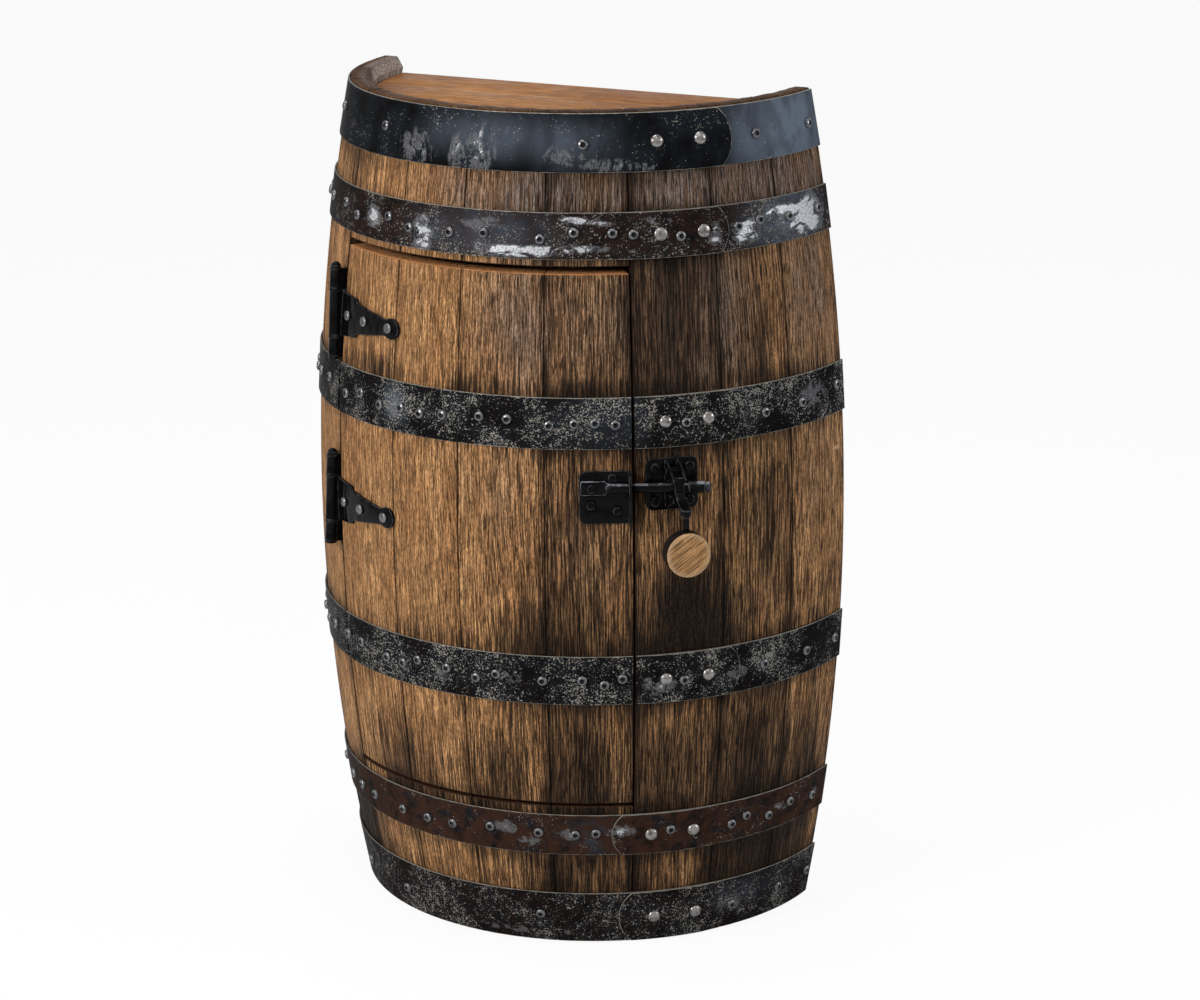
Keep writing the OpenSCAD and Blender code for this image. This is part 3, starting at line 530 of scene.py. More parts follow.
def new_group(name: str, inputs: str, outputs: str) -> tuple[NodeSheet, list[Value], bpy.types.Node]:
    """Starts a node group with named sockets, each a float but the one called Vector.

    Args:
        name: Name of the group.
        inputs: Names of its inputs with spaces between them.
        outputs: Names of its outputs, in the same form.

    Returns:
        The sheet, the group's inputs, and the node that takes its outputs.
    """
    tree = bpy.data.node_groups.new(name, "ShaderNodeTree")
    for side, labels in (("INPUT", inputs), ("OUTPUT", outputs)):
        for label in labels.split():
            kind = "NodeSocketVector" if label == "Vector" else "NodeSocketFloat"
            tree.interface.new_socket(name=label, in_out=side, socket_type=kind)
    sheet = NodeSheet(tree)
    return sheet, sheet.outs(sheet.add("NodeGroupInput"), *inputs.split()), sheet.add("NodeGroupOutput")


class Effects:
    """The node groups that more than one finish uses, built once."""

    BILGE_R = BarrelShape.bilge_r
    MIDDLE = BarrelShape.height / 2
    BOW_CURVE = 0.2227

    def __init__(self) -> None:
        """Builds every group."""
        self.place = self._barrel_place()
        self.grain = self._oak_grain()
        self.pits = self._pitted_steel()
        self.dust = self._dust()

    def _barrel_place(self) -> bpy.types.NodeTree:
        """Angle, arc, height and depth of a point round the barrel, from Object coordinates.

        Depth is the distance from the bowed outside, 0 on it and negative inside, with the bow taken as a parabola.

        Returns:
            The group.
        """
        sheet, _, out = new_group("barrel_place", "", "Turn Arc Height Depth")
        x, y, z = sheet.split(sheet.where())
        turn = sheet.math("ARCTAN2", x, y * -1.0)
        reach = sheet.math("SQRT", x * x + y * y)
        from_middle = z - self.MIDDLE
        bow = from_middle * from_middle * self.BOW_CURVE
        sheet.feeds(out, Turn=turn, Arc=turn * self.BILGE_R, Height=z, Depth=reach + bow - self.BILGE_R)
        return sheet.tree

    def _oak_grain(self) -> bpy.types.NodeTree:
        """Oak grain on across, along and deep in metres: dark pores, wavy year lines, broad clouds and fine fibres.

        Returns:
            The group.
        """
        sheet, (x, y, z, seed, width), out = new_group(
            "oak_grain", "Across Along Deep Seed Width", "Pores Lines Cloud Height Fibre")
        shift = seed * 7.31
        slow = sheet.combine(x * 9.0, y * 3.4, shift)
        sway = (sheet.noise(slow, 1.0, 2) - 0.5) * 0.016
        across = (x + sway) / width + shift
        deep = z / width

        def streaks(wide: float, long: float, detail: float, rough: float) -> Value:
            """Noise with this many bumps for each width across and for each metre along."""
            at = sheet.combine(across * wide, y * long, deep)
            return sheet.noise(at, 1.0, detail, rough)

        lines = sheet.remap(streaks(1.15, 17.0, 2, 0.5), 0.38, 0.58)
        pores = sheet.remap(streaks(1.7, 48.0, 1, 0.5), 0.53, 0.61)
        fibres = sheet.combine(x * 1000.0, y * 240.0, z * 1000.0)
        sheet.feeds(out, Lines=lines, Pores=pores, Height=lines - pores * 0.7,
                    Cloud=sheet.remap(streaks(0.055, 8.0, 3, 0.55), 0.3, 0.7),
                    Fibre=sheet.remap(sheet.noise(fibres, 1.0, 1, 0.6), 0.35, 0.65))
        return sheet.tree

    def _pitted_steel(self) -> bpy.types.NodeTree:
        """Pale specks that crowd into patches, for old steel, on a vector in metres.

        Returns:
            The group.
        """
        sheet, (vector, amount), out = new_group("pitted_steel", "Vector Amount", "Specks Patches Smear")
        patches = sheet.noise(vector, 21.0, 3, 0.6, 0.4)
        fine, coarse = sheet.noise(vector, 620.0, 1, 0.5, 0.6), sheet.noise(vector, 150.0, 3, 0.65, 0.8)
        both = fine * 0.62 + coarse * 0.38
        push = (patches - 0.5) * 0.36
        level = both + push + amount * 0.16
        sheet.feeds(out, Specks=sheet.remap(level, 0.62, 0.645), Patches=sheet.remap(patches, 0.35, 0.65),
                    Smear=sheet.remap(sheet.noise(vector, 46.0, 5, 0.62, 1.4), 0.5, 0.62))
        return sheet.tree

    def _dust(self) -> bpy.types.NodeTree:
        """A faint uneven veil for plain surfaces, on a vector in metres.

        Returns:
            The group.
        """
        sheet, (vector,), out = new_group("dust_veil", "Vector", "Veil Grit")
        sheet.feeds(out, Veil=sheet.remap(sheet.noise(vector, 34.0, 4, 0.6, 0.5), 0.35, 0.7),
                    Grit=sheet.noise(vector, 900.0, 2, 0.6))
        return sheet.tree


def start_material(name: str) -> tuple[Material, NodeSheet, bpy.types.Node]:
    """A new node material with its Principled shader.

    Args:
        name: Name of the material.

    Returns:
        The material, its sheet and its shader node.
    """
    material = bpy.data.materials.new(name)
    material.use_nodes = True
    sheet = NodeSheet(material.node_tree)
    return material, sheet, material.node_tree.nodes["Principled BSDF"]


# ---------------------------------------------------------------- finishes


@dataclass(frozen=True)
class StaveOak:
    """Weathered barrel oak: honey at the left, stained dark at the right and beside the bilge hoops."""

    name: str = "stave_oak"
    pale: Colour = (0.68, 0.365, 0.155)
    warm: Colour = (0.44, 0.208, 0.082)
    deep: Colour = (0.041, 0.0235, 0.014)
    soot: Colour = (0.004, 0.003, 0.0024)
    grey: Colour = (0.56, 0.48, 0.44)
    weathered: Colour = (0.235, 0.18, 0.15)
    fresh: Colour = (0.62, 0.26, 0.1)
    # Dark colour of the charred top ends, and painted shade on the cut faces in the seams and gaps
    char_and_gap_shade: Colour = (0.045, 0.02, 0.011)
    splinter: Colour = (0.72, 0.45, 0.24)
    drab: Colour = (0.19, 0.12, 0.075)
    shaded: Colour = (0.34, 0.245, 0.17)
    grain_w: float = 1.8 * MM
    grain_d: float = 1.3 * MM
    gloss: float = 0.06
    # Depths where the inside begins, heights where its grey lining begins, and reach of shade and dirt from a joint
    inside_d: tuple[float, float] = (-12 * MM, -5 * MM)
    lined_h: tuple[float, float] = (820 * MM, 850 * MM)
    shade_w: float = 16 * MM
    dirt_w: tuple[float, float] = (0.3 * MM, 1.3 * MM)
    # Heights where the dark top ends begin, at the left rear and elsewhere, and how fast they darken
    end_h: tuple[float, float] = (884 * MM, 870 * MM)
    end_slope: float = 130.0
    # How dark the outside is, from the left rear to the right rear
    sides: Table = (
        (0.0, 0.5), (0.2, 0.22), (0.33, 0.0), (0.46, 0.0), (0.54, 0.16), (0.58, 0.3), (0.62, 0.44), (0.68, 0.66),
        (0.76, 0.62), (0.86, 0.36), (1.0, 0.28))
    # Dirt beside the hoops: height and level
    dirt: Table = (
        (0.0, 0.5), (0.06, 0.5), (0.082, 0.15), (0.1065, 0.5), (0.153, 0.6), (0.183, 0.0), (0.255, 0.0), (0.279, 0.5),
        (0.332, 0.6), (0.362, 0.0), (0.528, 0.0), (0.552, 0.5), (0.605, 0.6), (0.632, 0.0), (0.722, 0.0),
        (0.7435, 0.45), (0.79, 0.35), (0.804, 0.0), (0.829, 0.35))
    # Soot on the outside: angle, height, half width, half height, strength
    stains: Table = (
        (46, 0.37, 13, 0.11, 1.7), (45, 0.69, 13, 0.2, 0.6), (45, 0.52, 10, 0.13, 0.4), (62, 0.47, 11, 0.2, 0.65),
        (63, 0.68, 10, 0.14, 0.35), (62, 0.2, 16, 0.15, 1.2), (45, 0.2, 11, 0.12, 0.75), (80, 0.2, 12, 0.12, 0.6),
        (26, 0.2, 12, 0.13, 0.75), (8, 0.2, 12, 0.13, 0.85), (-20, 0.2, 24, 0.12, 0.5), (-8, 0.35, 14, 0.05, 0.7),
        (12, 0.355, 14, 0.045, 0.5), (-20, 0.615, 13, 0.035, 0.75), (4, 0.61, 14, 0.045, 0.6),
        (26, 0.61, 12, 0.07, 0.3), (26, 0.5, 9, 0.16, 0.35), (68, 0.08, 24, 0.07, 1.2), (10, 0.08, 40, 0.045, 0.6),
        (-45, 0.08, 20, 0.06, 0.5), (-50, 0.08, 34, 0.06, 0.35), (78, 0.62, 10, 0.05, 0.5), (-60, 0.3, 20, 0.2, 0.25),
        (45, 0.66, 14, 0.16, 0.25), (66, 0.45, 6, 0.16, 0.35), (-12, 0.14, 60, 0.16, 0.3), (82, 0.14, 16, 0.18, 0.6),
        (-12, 0.18, 24, 0.1, 0.6), (-30, 0.66, 20, 0.12, 0.4), (-42, 0.08, 22, 0.05, 0.8),
        (-34, 0.81, 24, 0.04, 0.65), (20, 0.67, 15, 0.09, -0.2), (46, 0.81, 34, 0.035, -0.35),
        (78, 0.68, 14, 0.13, -0.45), (38, 0.42, 6, 0.12, -0.3), (62, 0.2, 12, 0.1, -0.1), (4, 0.08, 16, 0.035, -0.4),
        (58, 0.36, 9, 0.06, 0.5), (80, 0.37, 18, 0.04, 0.45), (62, 0.63, 12, 0.05, 0.4), (-26, 0.72, 9, 0.02, 0.2),
        (33, 0.7, 3, 0.1, 0.3), (12, 0.35, 12, 0.1, 0.35), (26, 0.36, 12, 0.09, 0.45))
    # Pale scratches and a chip, in the same form
    scratches: Table = (
        (0.9, 0.503, 0.35, 0.055, 0.8), (2.7, 0.506, 0.3, 0.038, 0.7), (5.2, 0.47, 0.3, 0.05, 0.5),
        (0.4, 0.4, 0.25, 0.035, 0.6), (87, 0.5135, 1.6, 0.004, 1.2), (8.5, 0.575, 2.5, 0.03, 0.25))
    # Grey weathering on the outside, in the same form
    greys: Table = (
        (12, 0.805, 34, 0.06, 1.2), (60, 0.805, 50, 0.07, 1.6), (14, 0.68, 17, 0.14, 0.8), (80, 0.7, 16, 0.2, 0.8),
        (50, 0.68, 22, 0.17, 1.1), (30, 0.68, 12, 0.1, 0.5), (26, 0.47, 12, 0.12, 0.3), (78, 0.5, 12, 0.1, 0.3),
        (10, 0.5, 9, 0.1, 0.25))

    def _stain(self, sheet: NodeSheet, turn: Value, arc: Value, height: Value, lines: Value, blots: Value) -> Value:
        """How dark the outside is: round the barrel, at the stains, and broken up by blots and grain.

        Args:
            sheet: The material's sheet.
            turn: Angle in radians.
            arc: Arc in metres.
            height: Height in metres.
            lines: Grain lines.
            blots: Broad noise.

        Returns:
            The level of the stain, about 0 to 2.
        """
        side = sheet.curve(sheet.remap(turn, -1.6, 1.6), *self.sides)
        stripes = sheet.noise(sheet.combine(arc * 55.0, height * 3.0, 2.0), 1.0, 2) - 0.5
        top = BarrelShape.height
        beside = sheet.curve(height / top, *((z / top, dirt) for z, dirt in self.dirt))
        return (side + sheet.spots(turn, height, self.stains) + beside * sheet.remap(blots, 0.25, 0.6, 0.15, 1.1)
                + (blots - 0.5) * 0.45 + stripes * 0.45 + (0.5 - lines) * 0.55)

    def make(self, effects: Effects) -> Material:
        """Builds the material.

        Args:
            effects: The shared node groups.

        Returns:
            The material.
        """
        material, sheet, shader = start_material(self.name)
        turn, arc, height, depth = sheet.outs(sheet.group(effects.place), "Turn", "Arc", "Height", "Depth")
        seed, tone, seam, sawn = (sheet.read(k) for k in ("seed", "tone", "seam", "sawn"))
        grain = sheet.group(effects.grain, Across=arc, Along=height, Deep=depth, Seed=seed, Width=self.grain_w)
        lines, pores, cloud, fibre, relief = sheet.outs(grain, "Lines", "Pores", "Cloud", "Fibre", "Height")
        dark = 1.0 - lines
        ridged = sheet.remap(turn, -0.55, 0.5, 0.68, 1.05)
        aged = sheet.remap(cloud, 0.1, 0.7, 0.6, 1.0)
        aged = sheet.math("MULTIPLY", sheet.spots(turn, height, self.greys), aged, clamp=True)
        blots = sheet.noise(sheet.combine(arc, height * 0.45, 0.0), 17.0, 3, 0.6, 0.3)
        joint = sheet.remap(seam, 0.0, self.shade_w, 0.5, 0.0) * sheet.remap(turn, -0.4, 0.4, 0.35, 1.0)
        level = self._stain(sheet, turn, arc, height, lines, blots) + tone + joint
        sooty = sheet.remap(level, 0.75, 1.8) * sheet.remap(fibre, 0.1, 0.9, 0.95, 0.78)
        scratched = sheet.spots(turn, height, self.scratches) * sheet.remap(fibre, 0.2, 0.6, 0.4, 1.0)
        # Inside faces are grey and drab, sawn faces are fresh, cut faces in the seams and gaps are painted dark as
        # shade, the seams are dirty and the top ends are dark
        inside = sheet.remap(depth, *self.inside_d, 1.0, 0.0) * 0.9
        lined = sheet.mix(sheet.remap(height, *self.lined_h), self.shaded, self.grey)
        cut = sheet.mix(sheet.remap(sawn, 0.6, 0.9), self.char_and_gap_shade, sheet.mix(lines, self.warm, self.fresh))
        dirt = sheet.remap(seam, *self.dirt_w, 0.8, 0.0) * (1.0 - sawn)
        start = sheet.span(sheet.remap(turn, -1.35, -1.0), *self.end_h)
        ends = sheet.math("MULTIPLY", height - start, self.end_slope, clamp=True)
        ends = ends * sheet.remap(fibre, 0.0, 0.5, 0.97, 0.82)
        board = sheet.coats(
            sheet.mix(sheet.span(cloud, 0.2, 0.85), self.warm, self.pale),
            (aged, self.weathered),
            (dark * 0.45, self.warm),
            (dark * ridged * 0.42, self.deep),
            (sheet.span(fibre, 0.55, 0.0), self.deep),
            (sheet.remap(level, 0.1, 1.15) * 0.86, self.deep),
            (sooty, self.soot),
            (pores * (ridged * 0.8), self.soot),
            (scratched, self.splinter),
            (inside, sheet.mix(lines, self.drab, lined)),
            (sheet.remap(sawn, 0.05, 0.45, 0.0, 0.85), cut),
            (dirt, self.soot),
            (ends * sheet.remap(blots, 0.38, 0.62, 1.0, 0.85), self.char_and_gap_shade))
        sheet.feeds(shader, Base_Color=board, Roughness=sheet.span(lines, 0.8, 0.58), Specular_IOR_Level=self.gloss,
                    Normal=sheet.bump(relief, self.grain_d, 0.9))
        return material


@dataclass(frozen=True)
class PlankOak:
    """Planed and oiled boards, their grain along one direction."""

    name: str
    pale: Colour
    warm: Colour
    deep: Colour
    along: int
    width: float = 2.6 * MM
    face: float = 0.0
    turn: float = 0.0
    shine: float = 0.42
    seed: float = 2.0
    charred: Colour = (0.008, 0.006, 0.005)
    rubbed_and_highlight: Colour = (0.5, 0.36, 0.22)
    grain_d: float = 0.4 * MM
    gloss: float = 0.08

    def make(self, effects: Effects) -> Material:
        """Builds the material.

        Args:
            effects: The shared node groups.

        Returns:
            The material.
        """
        material, sheet, shader = start_material(self.name)
        where = sheet.where()
        for angles in ((0, 0, -self.face), (0, self.turn, 0)):
            turned = sheet.feeds(sheet.add("ShaderNodeMapping"), Vector=where, Rotation=angles)
            where = sheet.outs(turned, "Vector")[0]
        parts = sheet.split(where)
        across, along, deep = (parts[k] for k in ((1, 0, 2) if self.along == 0 else (0, 2, 1)))
        grain = sheet.group(effects.grain, Across=across, Along=along, Deep=deep, Seed=self.seed, Width=self.width)
        lines, pores, cloud, fibre, relief = sheet.outs(grain, "Lines", "Pores", "Cloud", "Fibre", "Height")
        veil = sheet.outs(sheet.group(effects.dust, Vector=where), "Veil")[0]
        colour = sheet.coats(
            sheet.mix(cloud, self.warm, self.pale),
            ((1.0 - lines) * 0.5, self.deep),
            (pores * 0.6, self.deep),
            (sheet.span(fibre, 0.3, 0.0), self.deep),
            (veil * 0.18, self.warm),
            (sheet.read("side"), self.charred),
            (sheet.read("edge") * 0.4, self.rubbed_and_highlight))
        sheet.feeds(shader, Base_Color=colour, Specular_IOR_Level=self.gloss,
                    Roughness=sheet.span(veil, self.shine, self.shine + 0.16),
                    Normal=sheet.bump(relief, self.grain_d, 0.6))
        return material


class HoopLook(Enum):
    """How one hoop has aged, and where its sheen is painted: speckle, rust, roughness, stretch of the rubs, places of
    the rubs, and blue places of painted sheen.

    A place is angle, height, half width, half height and strength.
    """

    HEAD = (-0.2, 0.0, 0.26, (1.6, 0.7), (
        (-14, 0.845, 9, 0.03, 0.6), (-3, 0.845, 4, 0.03, 0.6), (3, 0.851, 6, 0.038, 0.85), (22, 0.846, 9, 0.02, 0.5),
        (32, 0.836, 9, 0.012, 0.6), (40, 0.833, 5, 0.009, 0.5)), (
        (6, 0.862, 26, 0.034, 0.45), (24, 0.858, 16, 0.04, 0.28), (78, 0.858, 30, 0.08, 1.2)))
    SCRAPED = (0.12, 0.45, 0.34, (0.45, 1.2), (
        (13, 0.7515, 14, 0.009, 1.8), (25, 0.754, 9, 0.006, 1.5), (24, 0.782, 6, 0.006, 1.5),
        (30, 0.779, 4, 0.005, 1.1), (-26, 0.766, 4, 0.022, 0.9), (-10.5, 0.76, 4.5, 0.032, 1.15),
        (4, 0.776, 9, 0.014, 0.55), (62, 0.762, 6, 0.024, 1.1), (70, 0.775, 5, 0.012, 1.0),
        (79, 0.765, 11, 0.034, 1.7), (54, 0.762, 2.5, 0.02, 1.0), (42, 0.781, 5, 0.006, 0.8)), (
        (74, 0.766, 20, 0.06, 0.7), (4, 0.766, 26, 0.04, 0.4)))
    SPECKLED = (0.27, 0.06, 0.36, (0.8, 0.8), (
        (10, 0.31, 5, 0.02, 0.55), (40, 0.3, 6, 0.02, 0.6), (58, 0.3, 5, 0.02, 0.5), (78, 0.58, 9, 0.03, 0.45),
        (-5, 0.3, 4, 0.02, 0.45), (-16, 0.58, 3, 0.025, 0.5)), (
        (-16, 0.58, 5, 0.03, 0.5), (40, 0.58, 30, 0.05, 0.12)))
    RUSTY = (-0.25, 1.0, 0.5, (0.6, 1.0), (
        (13, 0.12, 5, 0.012, 0.5), (22, 0.13, 4, 0.016, 0.55), (33, 0.134, 5, 0.014, 0.62),
        (8, 0.135, 6, 0.014, 0.45), (72, 0.13, 6, 0.01, 0.5), (84, 0.13, 4, 0.012, 0.5)), (
        (30, 0.13, 14, 0.03, 0.3),))
    FOOT = (0.2, 0.2, 0.4, (0.8, 0.8), (
        (60, 0.03, 14, 0.02, 0.4), (10, 0.012, 30, 0.008, 0.35)), (
        (60, 0.04, 30, 0.03, 0.12),))


@dataclass(frozen=True)
class HoopSteel:
    """Black hoop steel with pale pitting, smears of bare metal and rust, pale edges as painted highlights, blue
    places of painted sheen, and its left side painted black as shade.
    """

    look: HoopLook
    black: Colour = (0.0045, 0.0045, 0.0048)
    blue: Colour = (0.0095, 0.0115, 0.0145)
    # Blue-grey colour of the painted sheen
    painted_sheen: Colour = (0.115, 0.138, 0.175)
    pale: Colour = (0.3, 0.28, 0.24)
    film: Colour = (0.13, 0.13, 0.135)
    bright: Colour = (0.62, 0.63, 0.65)
    rust: Colour = (0.034, 0.0165, 0.0105)
    rim_w: tuple[float, float] = (0.7 * MM, 1.3 * MM)
    rim_waver: float = 1.2 * MM
    pit_d: float = 0.25 * MM
    gloss: float = 0.006

    def make(self, effects: Effects) -> Material:
        """Builds the material.

        Args:
            effects: The shared node groups.

        Returns:
            The material.
        """
        amount, rust, rough, stretch, rubs, sheen_places = self.look.value
        material, sheet, shader = start_material("hoop_steel_" + self.look.name.lower())
        turn, arc, height = sheet.outs(sheet.group(effects.place), "Turn", "Arc", "Height")
        flat = sheet.combine(arc, height, 0.0)
        pits = sheet.group(effects.pits, Vector=flat, Amount=amount)
        specks, patches, smear = sheet.outs(pits, "Specks", "Patches", "Smear")
        cloud = sheet.noise(sheet.combine(arc, height * 0.5, 4.0), 34.0, 4, 0.6, 0.6)
        under = 1.0 - sheet.read("lap")
        # Painted sheen: blue-grey places where the hoop would mirror a lamp, kept off the lap
        fade = sheet.spots(turn, height, sheen_places) * sheet.remap(cloud, 0.3, 0.65, 0.55, 1.1)
        fade = sheet.math("MULTIPLY", fade, under, clamp=True)
        colour = sheet.mix(fade, sheet.mix(patches, self.black, self.blue), self.painted_sheen)
        if rust:
            blooms = sheet.remap(sheet.noise(flat, 60.0, 4, 0.65), 0.3, 0.6)
            colour = sheet.mix(blooms * rust, colour, self.rust)
        # A rub is a thin grey film, bright where it is strongest
        strokes_at = sheet.combine(arc * stretch[0], height * stretch[1], 0.3)
        strokes = sheet.remap(sheet.noise(strokes_at, 60.0, 6, 0.72, 1.2), 0.32, 0.66)
        rub = sheet.spots(turn, height, rubs) * strokes - smear * 0.22
        grit = sheet.remap(sheet.noise(flat, 480.0, 3, 0.6), 0.34, 0.6, 0.35, 1.0)
        film = sheet.remap(rub, 0.1, 0.26, 0.0, 0.75) * grit
        bare = sheet.remap(rub, 0.38, 0.56, 0.0, 0.9) * grit
        # Pale lines along the edges and round the lap tip are painted highlights
        rim_at = sheet.read("edge") + sheet.noise(flat, 90.0, 3) * self.rim_waver
        rim = sheet.remap(rim_at, *self.rim_w, 0.75, 0.0)
        colour = sheet.coats(
            colour,
            (specks * 0.82, self.pale),
            (film, self.film),
            (bare, self.bright),
            (rim, self.pale),
            # Painted shade: the left side is laid over in black, over its specks, rubs and edges too
            (sheet.remap(turn, -1.1, -0.35, 0.7, 0.0), self.black))
        relief = patches * 0.8 - specks
        sheet.feeds(shader, Base_Color=colour, Metallic=sheet.math("MAXIMUM", rim, bare) * 0.5,
                    Roughness=sheet.span(specks, rough, rough + 0.3), Specular_IOR_Level=self.gloss,
                    Normal=sheet.bump(relief, self.pit_d, 0.7))
        return material


@dataclass(frozen=True)
class PlainMetal:
    """Small metal parts: black coated iron, zinc or bare steel, with a dusty veil, scuffed grit, edges lightened as
    wear and as painted highlight, painted shade in screw recesses, and, where set, a painted highlight along the
    upper side.
    """

    name: str
    base: Colour
    worn: Colour
    rim: Colour
    metallic: float
    rough: float
    wear: float = 0.3
    gloss: float = 0.5
    haze: float = 0.14
    rubbed_and_highlight: float = 0.0
    # Painted shade in the recess of a screw head
    pit: Colour = (0.006, 0.006, 0.006)
    grit_d: float = 0.12 * MM

    def make(self, effects: Effects) -> Material:
        """Builds the material.

        Args:
            effects: The shared node groups.

        Returns:
            The material.
        """
        material, sheet, shader = start_material(self.name)
        where = sheet.where()
        veil, grit = sheet.outs(sheet.group(effects.dust, Vector=where), "Veil", "Grit")
        worn = sheet.remap(sheet.noise(where, 260.0, 3, 0.6), 0.5, 0.66) * self.wear
        # Edges are lightened, partly as wear and partly as painted highlight
        bare = sheet.read("edge") * sheet.remap(sheet.noise(where, 130.0, 3, 0.6), 0.4, 0.62, 0.08, 0.55)
        colour = sheet.coats(self.base, (worn, self.worn), (bare, self.rim), (sheet.read("pit"), self.pit))
        if self.rubbed_and_highlight:
            # Painted highlight: the upper side of a bar is lightened where light from above would catch it
            upward = sheet.split(sheet.where("Normal"))[2]
            broken = sheet.remap(sheet.noise(where, 70.0, 2), 0.42, 0.56, 0.12, 1.0)
            upper = sheet.remap(upward, 0.6, 0.82) * broken
            colour = sheet.mix(upper * self.rubbed_and_highlight, colour, self.rim)
        sheet.feeds(shader, Base_Color=colour, Metallic=self.metallic, Specular_IOR_Level=self.gloss,
                    Roughness=sheet.span(veil, self.rough, self.rough + self.haze),
                    Normal=sheet.bump(grit, self.grit_d, 0.35))
        return material


# ---------------------------------------------------------------- sub-assemblies


def body_of(node: str) -> str:
    """Name of the CAD body that carries a node."""
    return frame["nodes"][node]["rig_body"]


def stand_in(piece: bpy.types.Object, node: str, material: Material) -> None:
    """Puts a finished piece in the place of a CAD node.

    Args:
        piece: The piece.
        node: The node that it replaces.
        material: The finish.
    """
    piece.data.materials.append(material)
    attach(piece, body_of(node))
    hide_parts(node)
    LOG.info("%s stands for %s: %d faces", piece.name, node, len(piece.data.polygons))


@dataclass(frozen=True)
class EasedPart:
    """A CAD piece with eased edges: a merged copy of its mesh, its flat faces joined and its sharp edges rounded."""

    node: str
    slot: str
    ease: float
    sharp: float = math.radians(32)
    flat: float = math.radians(0.4)
    shade_sharp: float = math.radians(50)
    merge: float = 0.004 * MM

    def build(self, finish: Material) -> None:
        """Rounds the edges, notes them in the value edge, and puts the piece in its node's place.

        Args:
            finish: The material.
        """
        work = bmesh.new()
        work.from_mesh(frame["nodes"][self.node].data)
        bmesh.ops.remove_doubles(work, verts=work.verts, dist=self.merge)
        bmesh.ops.dissolve_limit(work, angle_limit=self.flat, verts=work.verts, edges=work.edges)
        corners = [e for e in work.edges if len(e.link_faces) == 2 and e.calc_face_angle(0) > self.sharp]
        mark = work.faces.layers.float.new("edge")
        made = bmesh.ops.bevel(work, geom=corners, offset=self.ease, offset_type="OFFSET", segments=2, profile=0.5,
                               affect="EDGES", clamp_overlap=False)
        for face in made["faces"]:
            face[mark] = 1.0
        bmesh.ops.triangulate(work, faces=work.faces)
        mesh = bpy.data.meshes.new("eased_" + self.node)
        work.to_mesh(mesh)
        work.free()
        mesh.shade_smooth()
        mesh.set_sharp_from_angle(angle=self.shade_sharp)
        stand_in(linked(mesh.name, mesh), self.node, finish)


